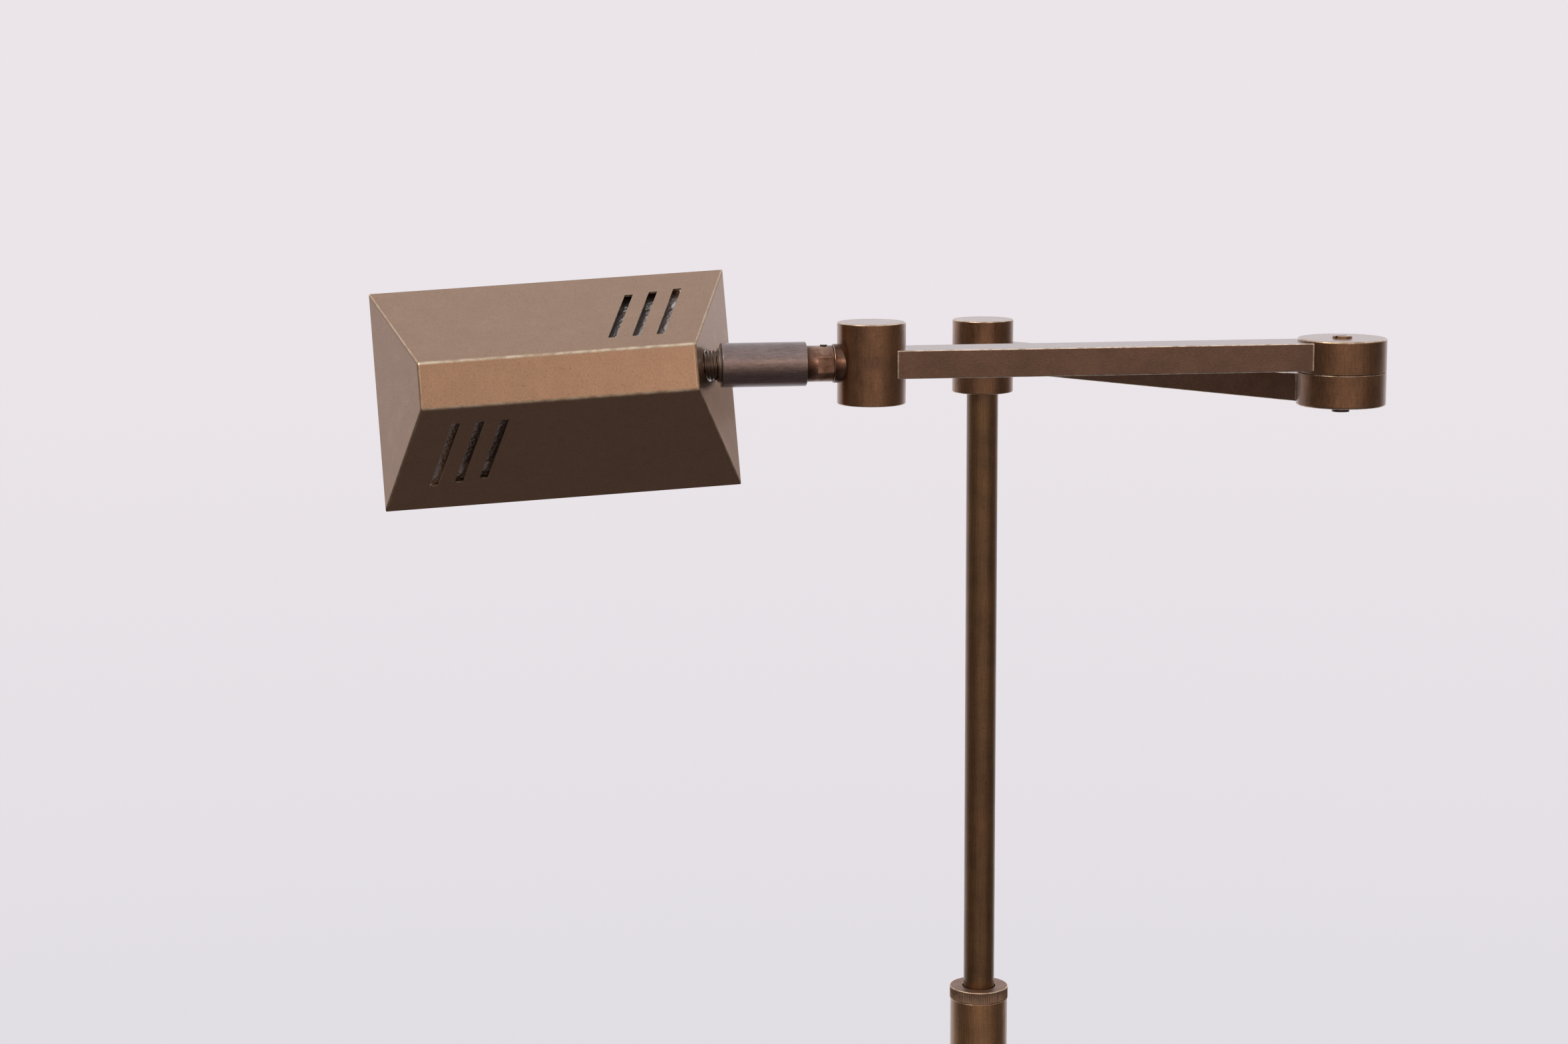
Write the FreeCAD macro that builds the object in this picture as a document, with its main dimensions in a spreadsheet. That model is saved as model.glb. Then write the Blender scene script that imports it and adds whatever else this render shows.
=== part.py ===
"""Pharmacy floor lamp: a weighted round base, a telescopic pole, a two-part swing arm and a
trough-shaped brass shade that turns on the end of the arm.

Millimetres. The origin is on the floor under the pole, +Z up, and the upper arm lies along X.
"""
import FreeCAD, Part
import math
import os
import re
from FreeCAD import Placement, Rotation, Vector
from Sketcher import Constraint

doc = FreeCAD.newDocument("pharmacy_floor_lamp")

# ---------------------------------------------------------------- driving dimensions
SIZES = [
    # base
    ("felt_radius", 118), ("felt_height", 2),
    ("weight_radius", 120), ("weight_height", 16.8),
    ("cover_radius", 125), ("cover_bottom", 1.5), ("cover_top", 20), ("cover_wall", 1.2),
    ("cover_round", 5), ("recess_radius", 18), ("recess_depth", 8), ("channel_width", 9),
    ("stud_radius", 5), ("stud_bore_radius", 3.4), ("stud_bottom", 2.6), ("stud_length", 46),
    ("inlet_height", 9), ("bush_radius", 5), ("bush_bore_radius", 3.1), ("bush_length", 9),
    ("flange_radius", 24), ("flange_floor", 3), ("flange_height", 16),
    # poles and the lock between them
    ("outer_radius", 14), ("outer_wall", 1.5), ("outer_top", 794), ("plug_height", 22),
    ("ferrule_length", 30), ("thread_radius", 11.5), ("thread_height", 4.4),
    ("seat_radius", 9), ("collet_length", 12),
    ("collar_radius", 14.2), ("collar_height", 6), ("collar_roof", 1.4),
    ("inner_radius", 7.5), ("inner_wall", 1.2), ("inner_length", 520),
    ("guide_length", 25), ("running_gap", 0.05), ("free_gap", 0.3),
    # hub on top of the inner pole
    ("arm_height", 1111.3), ("hub_radius", 14.5), ("hub_height", 34.5), ("hub_drop", 17.75),
    ("hub_socket", 8), ("spindle_radius", 4.95), ("spindle_bore_radius", 3),
    ("spindle_flange", 1.5), ("web_top", 17.8), ("cavity_radius", 11), ("cap_radius", 12.5),
    ("cap_height", 2.5), ("spindle_top", 24.5),
    # arms and elbow
    ("arm_length", 204.8), ("arm_width", 22), ("arm_depth", 12), ("arm_wall", 1.5),
    ("arm_angle", 52.18), ("disc_radius", 19.15), ("disc_height", 14.3), ("disc_gap", 0.3),
    ("disc_floor", 3.3), ("disc_rim", 3.5), ("disc_boss_radius", 7), ("screw_radius", 2.5),
    ("screw_head_radius", 4.2), ("screw_head_height", 2.6), ("screw_proud", 1.0),
    ("nut_radius", 3.8), ("nut_height", 5.7), ("nut_proud", 2.9),
    # stem and sleeve on the head barrel, measured outwards from the barrel's axis
    ("saddle_radius", 8.2), ("saddle_end", 16.62), ("stem_radius", 7.6), ("stem_end", 27.95),
    ("spigot_radius", 6), ("spigot_end", 50), ("flat_depth", 0.9), ("flat_length", 7),
    ("stop_screw_radius", 1.5), ("stop_screw_at", 20.4), ("stop_screw_proud", 0.4),
    ("sleeve_radius", 9.35), ("sleeve_end", 64), ("sleeve_chamfer", 0.4),
    ("sleeve_cavity_radius", 8.2), ("sleeve_cavity_start", 40), ("sleeve_cavity_end", 56),
    ("nipple_radius", 6.5), ("nipple_bore_radius", 4.5), ("nipple_end", 89.9),
    ("ring_radius", 7.2), ("ring_height", 1.2), ("nut_width", 17), ("bracket_at", 82.4),
    # shade, in its own frame: origin at the middle of the ridge, X along it, Z out of it
    ("open_length", 151), ("open_width", 93), ("ridge_length", 115), ("ridge_width", 19.5),
    ("shade_depth", 40), ("shade_sheet", 1), ("shade_round", 1.2), ("shade_droop", 3.16),
    ("shade_turn", 75.57), ("shade_ahead", 49.93), ("shade_below", 2.44), ("shade_rise", 12.75),
    ("slot_start", 40.7), ("slot_pitch", 10.1), ("slot_near", 8.7), ("slot_far", 42.1),
    ("slot_step", 1.08), ("slot_width", 3.5), ("entry_radius", 6.9),
    ("entry_below", 1.7), ("entry_rise", 12.93),
    # pieces inside the shade
    ("plate", 1.5), ("bracket_length", 30), ("bracket_neck", 6.5), ("bracket_half", 13.2),
    ("bracket_shoulder", 12), ("bracket_foot", 22.5), ("reflector_sheet", 0.5), ("reflector_half", 56),
    ("notch_half", 11.5), ("notch_end", 46), ("far_screw", 36), ("near_screw", 26),
    ("strap_width", 20), ("strap_top", 5), ("strap_foot", 31), ("strap_tab_top", 15),
    ("reflector_depth", 30), ("reflector_foot", 7), ("reflector_spread", 29.8),
    ("reflector_lip", 36.5), ("lamp_depth", 21), ("holder_radius", 13.5), ("holder_length", 36),
    ("holder_start", -38), ("holder_bore_radius", 8), ("shell_radius", 8), ("shell_wall", 0.9),
    ("cap_screw_radius", 6.9), ("glass_radius", 12.5), ("glass_wall", 0.8), ("glass_end", 47),
    ("lead_radius", 2), ("lead_lift", 2.4), ("supply_lead_radius", 3),
]
sheet = doc.addObject("Spreadsheet::Sheet", "sizes")
for row, (alias, value) in enumerate(SIZES, start=1):
    sheet.set(f"A{row}", alias)
    sheet.set(f"B{row}", str(value))
    sheet.setAlias(f"B{row}", alias)
doc.recompute()
ALIASES = {alias for alias, value in SIZES}


# ---------------------------------------------------------------- helpers
def bound(formula):
    """A formula of size names as an expression that reads the spreadsheet."""
    def link(match):
        word = match.group()
        return "sizes." + word if word in ALIASES else word
    return re.sub(r"[a-z_]+", link, str(formula))


def number(formula):
    """The value that a formula of size names has now."""
    return float(sheet.evalExpression(bound(formula)))


def pin(sketch, geometry, point, axis, formula):
    """Holds one coordinate of a sketch point at a formula's value."""
    value = number(formula)
    if abs(value) < 1e-9:
        datum = -2 if axis == "X" else -1
        sketch.addConstraint(Constraint("PointOnObject", geometry, point, datum))
        return
    ends = (-1, 1, geometry, point) if value > 0 else (geometry, point, -1, 1)
    index = sketch.addConstraint(Constraint("Distance" + axis, *ends, abs(value)))
    sign = "" if value > 0 else "-"
    sketch.setExpression(f"Constraints[{index}]", f"{sign}({bound(formula)})")


def new_body(node):
    return doc.addObject("PartDesign::Body", node + "_body")


def new_sketch(body, role, name, offset=Placement()):
    """A sketch on one of the body's own origin planes."""
    sketch = body.newObject("Sketcher::SketchObject", name)
    plane = next(f for f in body.Origin.OriginFeatures if f.Role == role)
    sketch.AttachmentSupport = [(plane, "")]
    sketch.MapMode = "FlatFace"
    sketch.AttachmentOffset = offset
    return sketch


def add_polygon(sketch, points):
    """A closed outline through points given as pairs of formulas."""
    corners = [Vector(number(x), number(y), 0) for x, y in points]
    first = sketch.GeometryCount
    count = len(corners)
    for i in range(count):
        sketch.addGeometry(Part.LineSegment(corners[i], corners[(i + 1) % count]), False)
    for i in range(count):
        following = first + (i + 1) % count
        sketch.addConstraint(Constraint("Coincident", first + i, 2, following, 1))
    for i, (x, y) in enumerate(points):
        pin(sketch, first + i, 1, "X", x)
        pin(sketch, first + i, 1, "Y", y)


def add_circle(sketch, x, y, radius):
    middle = Vector(number(x), number(y), 0)
    circle = Part.Circle(middle, Vector(0, 0, 1), number(radius))
    index = sketch.addGeometry(circle, False)
    pin(sketch, index, 3, "X", x)
    pin(sketch, index, 3, "Y", y)
    rule = sketch.addConstraint(Constraint("Radius", index, number(radius)))
    sketch.setExpression(f"Constraints[{rule}]", bound(radius))


def add_pad(body, sketch, length, middle=False):
    pad = body.newObject("PartDesign::Pad", sketch.Name + "_pad")
    pad.Profile = sketch
    pad.setExpression("Length", bound(length))
    if middle:
        pad.SideType = "Symmetric"
    body.Tip = pad
    doc.recompute()
    return pad


def add_pocket(body, sketch, length, backwards=False, middle=False):
    """A pocket, checked to have really cut the body."""
    before = body.Shape.Volume
    pocket = body.newObject("PartDesign::Pocket", sketch.Name + "_pocket")
    pocket.Profile = sketch
    pocket.setExpression("Length", bound(length))
    pocket.Reversed = backwards
    if middle:
        pocket.SideType = "Symmetric"
    body.Tip = pocket
    doc.recompute()
    if not body.Shape.Volume < before - 1e-6:
        raise RuntimeError(sketch.Name + " cuts nothing")
    return pocket


PIECES = {}


def keep(node, piece, placement=Placement()):
    """Names a finished piece and sets it in its place."""
    piece.Label = node
    piece.Placement = placement
    PIECES[node] = piece
    return piece


def turned(node, profile, placement=Placement(), finished=True):
    """A lathe-turned piece: (radius, height) formulas revolved about the local Z axis."""
    body = new_body(node)
    sketch = new_sketch(body, "XZ_Plane", node + "_profile")
    add_polygon(sketch, profile)
    turn = body.newObject("PartDesign::Revolution", node + "_turn")
    turn.Profile = sketch
    turn.ReferenceAxis = (sketch, ["V_Axis"])
    turn.Angle = 360
    body.Tip = turn
    doc.recompute()
    return keep(node, body, placement) if finished else body


def tube(node, outside, inside, height, placement=Placement()):
    return turned(node, [(inside, 0), (outside, 0), (outside, height), (inside, height)], placement)


def cylinder(name, radius, height, placement=Placement()):
    piece = doc.addObject("Part::Cylinder", name)
    piece.setExpression("Radius", bound(radius))
    piece.setExpression("Height", bound(height))
    piece.Placement = placement
    return piece


def box(name, length, width, height, placement=Placement()):
    piece = doc.addObject("Part::Box", name)
    piece.setExpression("Length", bound(length))
    piece.setExpression("Width", bound(width))
    piece.setExpression("Height", bound(height))
    piece.Placement = placement
    return piece


def joined(name, pieces):
    fuse = doc.addObject("Part::MultiFuse", name)
    fuse.Shapes = pieces
    doc.recompute()
    return fuse


def cut(name, base, tools):
    """A base piece less its tools, checked to have really been cut."""
    result = doc.addObject("Part::Cut", name)
    result.Base = base
    result.Tool = tools[0] if len(tools) == 1 else joined(name + "_tools", tools)
    doc.recompute()
    if not result.Shape.Volume < base.Shape.Volume - 1e-6:
        raise RuntimeError(name + " cuts nothing")
    return result


def hex_nut(node, width, height, bore, placement=Placement()):
    """A hexagon nut of a width across flats, with its round hole."""
    blank = doc.addObject("Part::Prism", node + "_blank")
    blank.Polygon = 6
    blank.setExpression("Circumradius", bound(f"({width}) / 3 ^ 0.5"))
    blank.setExpression("Height", bound(height))
    hole = cylinder(node + "_hole", bore, height)
    return keep(node, cut(node + "_cut", blank, [hole]), placement)


def at(x, y, z, rotation=Rotation()):
    """A placement whose position is three formulas."""
    return Placement(Vector(number(x), number(y), number(z)), rotation)


ALONG_X = Rotation(Vector(0, 0, 1), Vector(1, 0, 0))

# ---------------------------------------------------------------- base
# the pad is one disc, glued on after the nut in the recess is tightened
turned("base_felt_pad", [(0, 0), ("felt_radius", 0), ("felt_radius", "felt_height"), (0, "felt_height")])

weight = turned("base_weight", [
    ("recess_radius", 0), ("weight_radius", 0), ("weight_radius", "weight_height - 2"),
    ("weight_radius - 2", "weight_height"), ("stud_radius + 0.2", "weight_height"),
    ("stud_radius + 0.2", "recess_depth"), ("recess_radius", "recess_depth")], finished=False)
channel = box("lead_channel", "channel_width", "weight_radius + 2", "inlet_height - felt_height + 5",
              at("-channel_width / 2", "0", "-1"))
keep("base_weight", cut("base_weight_cut", weight, [channel]), at(0, 0, "felt_height"))

# the spun cover: a flat top, a rolled shoulder and a plain skirt
cover = turned("base_cover", [
    ("cover_radius - cover_wall", "cover_bottom"), ("cover_radius", "cover_bottom"),
    ("cover_radius", "cover_top - cover_round"),
    ("cover_radius - cover_round * 0.293", "cover_top - cover_round * 0.293"),
    ("cover_radius - cover_round", "cover_top"), ("stud_radius + 0.2", "cover_top"),
    ("stud_radius + 0.2", "cover_top - cover_wall"),
    ("cover_radius - cover_round", "cover_top - cover_wall"),
    ("cover_radius - cover_round * 0.293 - cover_wall * 0.707",
     "cover_top - cover_round * 0.293 - cover_wall * 0.707"),
    ("cover_radius - cover_wall", "cover_top - cover_round")], finished=False)
TO_THE_REAR = Rotation(Vector(0, 0, 1), Vector(0, 1, 0))
inlet_hole = cylinder("inlet_hole", "bush_radius", "20",
                      at(0, "cover_radius - 15", "inlet_height", TO_THE_REAR))
keep("base_cover", cut("base_cover_cut", cover, [inlet_hole]))
# the bush is a flanged plastic bush held in the cover's rear wall; its flange stays inside the
# cover's own outer radius on the far side of the wall
turned("cord_inlet_bush", [
    ("bush_bore_radius", 0), ("bush_radius + 1.2", 0), ("bush_radius + 1.2", 1.5),
    ("bush_radius", 1.5), ("bush_radius", "bush_length"), ("bush_bore_radius", "bush_length")],
    at(0, "cover_radius - cover_wall - 1.9", "inlet_height", TO_THE_REAR))

tube("base_stud", "stud_radius", "stud_bore_radius", "stud_length", at(0, 0, "stud_bottom"))
tube("base_washer", "15", "stud_radius", "2", at(0, 0, "felt_height + recess_depth - 2"))
turned("base_lead", [(0, 0), ("supply_lead_radius", 0), ("supply_lead_radius", 98), (0, 98)],
       at(0, "recess_radius + 2", "inlet_height", TO_THE_REAR))
hex_nut("base_nut", 17, 5, "stud_radius", at(0, 0, "felt_height + recess_depth - 7"))

turned("pole_flange", [
    ("stud_radius", 0), ("flange_radius", 0), ("flange_radius", 2.5),
    ("flange_radius - 1.2", 3.6), ("flange_radius - 4.6", 5), ("outer_radius + 3.4", 7.6),
    ("outer_radius + 2", 11), ("outer_radius + 2", "flange_height - 0.8"),
    ("outer_radius + 1.2", "flange_height"), ("outer_radius", "flange_height"),
    ("outer_radius", "flange_floor"), ("stud_radius", "flange_floor")], at(0, 0, "cover_top"))

# ---------------------------------------------------------------- outer pole and its lock
POLE_FOOT = "cover_top + flange_floor"
OUTER_BORE = "outer_radius - outer_wall"
tube("outer_pole", "outer_radius", OUTER_BORE, f"outer_top - ({POLE_FOOT})", at(0, 0, POLE_FOOT))
tube("pole_foot_plug", OUTER_BORE, "stud_radius", "plug_height", at(0, 0, POLE_FOOT))
turned("pole_ferrule", [
    ("seat_radius", 0), (OUTER_BORE, 0), (OUTER_BORE, "ferrule_length"),
    ("thread_radius", "ferrule_length"), ("thread_radius", "ferrule_length + thread_height"),
    ("seat_radius", "ferrule_length + thread_height")], at(0, 0, "outer_top - ferrule_length"))
collet = turned("clamp_collet", [
    ("inner_radius + running_gap", 0), ("seat_radius", 0), ("seat_radius", "collet_length"),
    ("inner_radius + running_gap", "collet_length")], finished=False)
collet_slit = box("collet_slit", "seat_radius + 2", "1.2", "collet_length + 2", at(0, -0.6, -1))
keep("clamp_collet", cut("clamp_collet_cut", collet, [collet_slit]),
     at(0, 0, "outer_top + thread_height - collet_length"))
turned("lock_collar", [
    ("thread_radius + running_gap", 0.05), ("collar_radius", 0.05),
    ("collar_radius", "collar_height - 0.7"), ("collar_radius - 0.7", "collar_height"),
    ("inner_radius + free_gap", "collar_height"),
    ("inner_radius + free_gap", "collar_height - collar_roof"),
    ("thread_radius + running_gap", "collar_height - collar_roof")], at(0, 0, "outer_top"))
tube("supply_lead", "supply_lead_radius", "1.2", "outer_top - stud_bottom - 8",
     at(0, 0, "stud_bottom + 1"))

# ---------------------------------------------------------------- inner pole and its spindle
HUB_FOOT = "arm_height - hub_drop"
INNER_BORE = "inner_radius - inner_wall"
INNER_FOOT = f"{HUB_FOOT} + hub_socket - inner_length"
tube("inner_pole", "inner_radius", INNER_BORE, "inner_length", at(0, 0, INNER_FOOT))
tube("pole_guide_sleeve", f"{OUTER_BORE} - running_gap", "inner_radius", "guide_length",
     at(0, 0, INNER_FOOT))
turned("pole_spindle", [
    ("spindle_bore_radius", -20), (INNER_BORE, -20), (INNER_BORE, 0), ("inner_radius", 0),
    ("inner_radius", "spindle_flange"), ("spindle_radius", "spindle_flange"),
    ("spindle_radius", "spindle_top - hub_socket"),
    ("spindle_bore_radius", "spindle_top - hub_socket")], at(0, 0, f"{HUB_FOOT} + hub_socket"))
WASHER_FOOT = f"{HUB_FOOT} + web_top + running_gap"
tube("hub_washer", "9.5", "spindle_radius", "1", at(0, 0, WASHER_FOOT))
hex_nut("hub_nut", 14, 4, "spindle_radius", at(0, 0, f"{WASHER_FOOT} + 1"))
tube("pole_lead", "spindle_bore_radius - 0.4", "1", "50", at(0, 0, f"{HUB_FOOT} - 24"))

# ---------------------------------------------------------------- lower arm
ARM_TURN = Rotation(Vector(0, 0, 1), -number("arm_angle"))
hub = turned("hub_barrel", [
    ("inner_radius + running_gap", 0), ("hub_radius", 0), ("hub_radius", "hub_height"),
    ("cap_radius", "hub_height"), ("cap_radius", "hub_height - cap_height"),
    ("cavity_radius", "hub_height - cap_height"), ("cavity_radius", "web_top"),
    ("spindle_radius + running_gap", "web_top"),
    ("spindle_radius + running_gap", "hub_socket + spindle_flange + running_gap"),
    ("inner_radius + running_gap", "hub_socket + spindle_flange + running_gap")],
    finished=False)
hub_window = cylinder("hub_window", "lead_radius + 0.4", "20",
                      at(0, 0, "web_top + lead_lift", ALONG_X))
keep("hub_barrel", cut("hub_barrel_cut", hub, [hub_window]), at(0, 0, HUB_FOOT, ARM_TURN))
turned("hub_cap", [(0, 0), ("cap_radius", 0), ("cap_radius", "cap_height"), (0, "cap_height")],
       at(0, 0, f"{HUB_FOOT} + hub_height - cap_height"))


def hollow_arm(node, far_radius, placement):
    """A rectangular tube between two axes, its ends coped to the round pieces it meets."""
    bar = box(node + "_bar", "arm_length", "arm_width", "arm_depth",
              at(0, "-arm_width / 2", "-arm_depth / 2"))
    hollow = box(node + "_hollow", "arm_length", "arm_width - 2 * arm_wall",
                 "arm_depth - 2 * arm_wall",
                 at(0, "-arm_width / 2 + arm_wall", "-arm_depth / 2 + arm_wall"))
    near = cylinder(node + "_near_cope", "disc_radius", "arm_depth + 4",
                    at(0, 0, "-arm_depth / 2 - 2"))
    far = cylinder(node + "_far_cope", far_radius, "arm_depth + 4",
                   at("arm_length", 0, "-arm_depth / 2 - 2"))
    keep(node, cut(node + "_cut", bar, [hollow, near, far]), placement)


def elbow_disc(node, lead_lift, placement):
    """A turned cup with a boss for the pivot screw and a hole in its rim for the lead."""
    cup = turned(node, [
        ("screw_radius + running_gap", 0), ("disc_radius", 0), ("disc_radius", "disc_height"),
        ("disc_radius - disc_rim", "disc_height"), ("disc_radius - disc_rim", "disc_floor"),
        ("disc_boss_radius", "disc_floor"), ("disc_boss_radius", "disc_height"),
        ("screw_radius + running_gap", "disc_height")], finished=False)
    seat = cylinder(node + "_seat", "screw_head_radius + 0.3", "3")
    window = cylinder(node + "_window", "lead_radius + 0.4", "disc_radius + 2",
                      at(0, 0, f"disc_height / 2 + {lead_lift}", ALONG_X))
    boss_guard = cylinder(node + "_boss_guard", "disc_boss_radius + 2", "disc_height")
    rim_hole = cut(node + "_window_cut", window, [boss_guard])
    keep(node, cut(node + "_cut", cup, [seat, rim_hole]), placement)


ELBOW_X = "arm_length * cos(arm_angle * 1deg)"
ELBOW_Y = "-arm_length * sin(arm_angle * 1deg)"
BACK_TO_HUB = Rotation(Vector(0, 0, 1), 180 - number("arm_angle"))
hollow_arm("lower_arm", "hub_radius", at(ELBOW_X, ELBOW_Y, "arm_height", BACK_TO_HUB))
elbow_disc("elbow_lower_disc", "lead_lift",
           at(ELBOW_X, ELBOW_Y, "arm_height - disc_height / 2", BACK_TO_HUB))
tube("elbow_friction_washer", "disc_radius - 0.5", "disc_boss_radius - 3", "disc_gap - 0.1",
     at(ELBOW_X, ELBOW_Y, "arm_height + disc_height / 2 + 0.05"))
turned("lower_arm_lead", [(0, 0), ("lead_radius", 0), ("lead_radius", "arm_length - 22"),
                          (0, "arm_length - 22")],
       Placement(Vector(0, 0, number(f"{HUB_FOOT} + web_top + lead_lift")), ARM_TURN)
       .multiply(at(9.5, 0, 0, ALONG_X)))

# ---------------------------------------------------------------- upper arm
UPPER = "arm_height + disc_height + disc_gap"
ALONG_STEM = Rotation(Vector(0, 0, 1), Vector(-1, 0, 0))
HALF_TURN = Rotation(Vector(0, 0, 1), 180)
UPPER_DOWN = Rotation(Vector(1, 0, 0), 180)
hollow_arm("upper_arm", "hub_radius", at(ELBOW_X, ELBOW_Y, UPPER, HALF_TURN))
elbow_disc("elbow_upper_disc", "0",
           at(ELBOW_X, ELBOW_Y, f"{UPPER} + disc_height / 2", HALF_TURN.multiply(UPPER_DOWN)))

SCREW_TOP = f"{UPPER} + disc_height / 2 + screw_proud"
SCREW_END = "arm_height - disc_height / 2 - nut_proud"
screw = turned("elbow_screw", [
    (0, SCREW_END), ("screw_radius", SCREW_END), ("screw_radius", f"{SCREW_TOP} - 3.6"),
    ("screw_head_radius", f"{SCREW_TOP} - 3.6"), ("screw_head_radius", f"{SCREW_TOP} - 0.3"),
    ("screw_head_radius - 0.3", SCREW_TOP), (0, SCREW_TOP)], finished=False)
screw_slot = box("screw_slot", "screw_head_radius * 2 + 2", "1", "2",
                 at("-screw_head_radius - 1", -0.5, f"{SCREW_TOP} - 0.9"))
keep("elbow_screw", cut("elbow_screw_cut", screw, [screw_slot]),
     at(ELBOW_X, ELBOW_Y, 0, Rotation(Vector(0, 0, 1), 35)))
tube("elbow_nut", "nut_radius", "screw_radius", "nut_height",
     at(ELBOW_X, ELBOW_Y, "arm_height - disc_height / 2 - nut_proud"))

BARREL_X = f"{ELBOW_X} - arm_length"
BARREL_FOOT = f"{UPPER} - hub_height / 2"
barrel = turned("head_barrel", [
    ("cap_radius", 0), ("hub_radius", 0), ("hub_radius", "hub_height"),
    ("cap_radius", "hub_height"), ("cap_radius", "hub_height - cap_height"),
    ("cavity_radius", "hub_height - cap_height"), ("cavity_radius", "cap_height"),
    ("cap_radius", "cap_height")], finished=False)
stem_hole = cylinder("barrel_stem_hole", "spigot_radius - 1", "20",
                     at(0, 0, "hub_height / 2", ALONG_STEM))
lead_hole = cylinder("barrel_lead_hole", "lead_radius + 0.4", "20",
                     at(0, 0, "hub_height / 2", ALONG_X))
keep("head_barrel", cut("head_barrel_cut", barrel, [stem_hole, lead_hole]),
     at(BARREL_X, ELBOW_Y, BARREL_FOOT))
for node, foot in (("barrel_bottom_cap", BARREL_FOOT),
                   ("barrel_top_cap", f"{BARREL_FOOT} + hub_height - cap_height")):
    turned(node, [(0, 0), ("cap_radius", 0), ("cap_radius", "cap_height"), (0, "cap_height")],
           at(BARREL_X, ELBOW_Y, foot))
turned("upper_arm_lead", [(0, 0), ("lead_radius", 0), ("lead_radius", "arm_length - 22"),
                          (0, "arm_length - 22")],
       at(f"{BARREL_X} + 9.5", ELBOW_Y, UPPER, ALONG_X))

# the stem's own frame: Z runs outwards along the stem, from the barrel's axis
STEM = at(BARREL_X, ELBOW_Y, UPPER, ALONG_STEM)


def on_stem(distance):
    """A place on the stem's axis, at a distance from the barrel's axis."""
    return STEM.multiply(at(0, 0, distance))


saddle = turned("stem_saddle", [
    ("spigot_radius - 1", 0), ("saddle_radius", 0), ("saddle_radius", "saddle_end - 0.4"),
    ("saddle_radius - 0.4", "saddle_end"), ("spigot_radius - 1", "saddle_end")], finished=False)
# the barrel is upright, so it lies across the saddle's own axis
cope = cylinder("saddle_cope", "hub_radius", "40", at(20, 0, 0, ALONG_STEM))
keep("stem_saddle", cut("stem_saddle_cut", saddle, [cope]), STEM)

stem = turned("swivel_stem", [
    ("spindle_bore_radius", "cavity_radius - 2"), ("spigot_radius - 1", "cavity_radius - 2"),
    ("spigot_radius - 1", "saddle_end"), ("stem_radius", "saddle_end"),
    ("stem_radius", "stem_end - 0.3"), ("stem_radius - 0.3", "stem_end"),
    ("spigot_radius", "stem_end"), ("spigot_radius", "spigot_end"),
    ("spindle_bore_radius", "spigot_end")], finished=False)
flats = [box(f"stem_flat_{side}", "stem_radius * 2", "3", "flat_length",
             Placement(Vector(-number("stem_radius"), low, number("saddle_end")), Rotation()))
         for side, low in (("left", number("stem_radius - flat_depth")),
                           ("right", -number("stem_radius - flat_depth") - 3))]
# local X of the stem's frame points up, so the stop screw's hole runs along it
stop_hole = cylinder("stop_screw_hole", "stop_screw_radius", "12",
                     at(4, 0, "stop_screw_at", ALONG_X))
keep("swivel_stem", cut("swivel_stem_cut", stem, flats + [stop_hole]), STEM)
turned("stem_stop_screw", [
    (0, 0), ("stop_screw_radius", 0), ("stop_screw_radius", "stem_radius + stop_screw_proud - 4.1"),
    (0, "stem_radius + stop_screw_proud - 4.1")],
    STEM.multiply(at(4.1, 0, "stop_screw_at", ALONG_X)))
tube("stem_washer", "sleeve_cavity_radius - 0.4", "spigot_radius", "1.5",
     on_stem("sleeve_cavity_start + running_gap"))
hex_nut("stem_nut", 13, 4, "spigot_radius", on_stem("sleeve_cavity_start + 1.5 + running_gap"))

# ---------------------------------------------------------------- head: sleeve and nipple
turned("swivel_sleeve", [
    ("spigot_radius + running_gap", "stem_end + running_gap"),
    ("sleeve_radius - sleeve_chamfer", "stem_end + running_gap"),
    ("sleeve_radius", "stem_end + running_gap + sleeve_chamfer"),
    ("sleeve_radius", "sleeve_end - sleeve_chamfer"),
    ("sleeve_radius - sleeve_chamfer", "sleeve_end"), ("nipple_radius", "sleeve_end"),
    ("nipple_radius", "sleeve_cavity_end"), ("sleeve_cavity_radius", "sleeve_cavity_end"),
    ("sleeve_cavity_radius", "sleeve_cavity_start"),
    ("spigot_radius + running_gap", "sleeve_cavity_start")], STEM)
tube("shade_nipple", "nipple_radius", "nipple_bore_radius", "nipple_end - sleeve_cavity_end",
     on_stem("sleeve_cavity_end"))
tube("nipple_lock_ring", "ring_radius", "nipple_radius", "ring_height", on_stem("sleeve_end"))
hex_nut("shade_outer_nut", "nut_width", 4, "nipple_radius", on_stem("bracket_at - 5.25"))
hex_nut("shade_inner_nut", "nut_width", 4, "nipple_radius", on_stem("bracket_at + 2.75"))
turned("head_lead", [(0, 0), ("lead_radius - 0.5", 0), ("lead_radius - 0.5", 43),
                     (0, 43)], on_stem("spigot_end + 1"))

# ---------------------------------------------------------------- shade
# the shade hangs a little low on its nipple, and is turned about the stem
head_turn = Rotation(Vector(0, 1, 0), number("shade_droop"))
head_turn = HALF_TURN.multiply(head_turn).multiply(
    Rotation(Vector(1, 0, 0), -number("shade_turn")))
FIXING = Placement(Vector(number(f"{BARREL_X} - bracket_at"), number(ELBOW_Y), number(UPPER)),
                   head_turn)
SHADE = FIXING.multiply(at("shade_ahead", "shade_below", "shade_rise"))
LAMP = SHADE.multiply(at(0, 0, "-lamp_depth", ALONG_X))

SIDE_SLOPE = "((open_width - ridge_width) / 2 / shade_depth)"
END_SLOPE = "((open_length - ridge_length) / 2 / shade_depth)"
SIDE_INSET = f"(shade_sheet * (1 + {SIDE_SLOPE} ^ 2) ^ 0.5)"
END_INSET = f"(shade_sheet * (1 + {END_SLOPE} ^ 2) ^ 0.5)"


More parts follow.
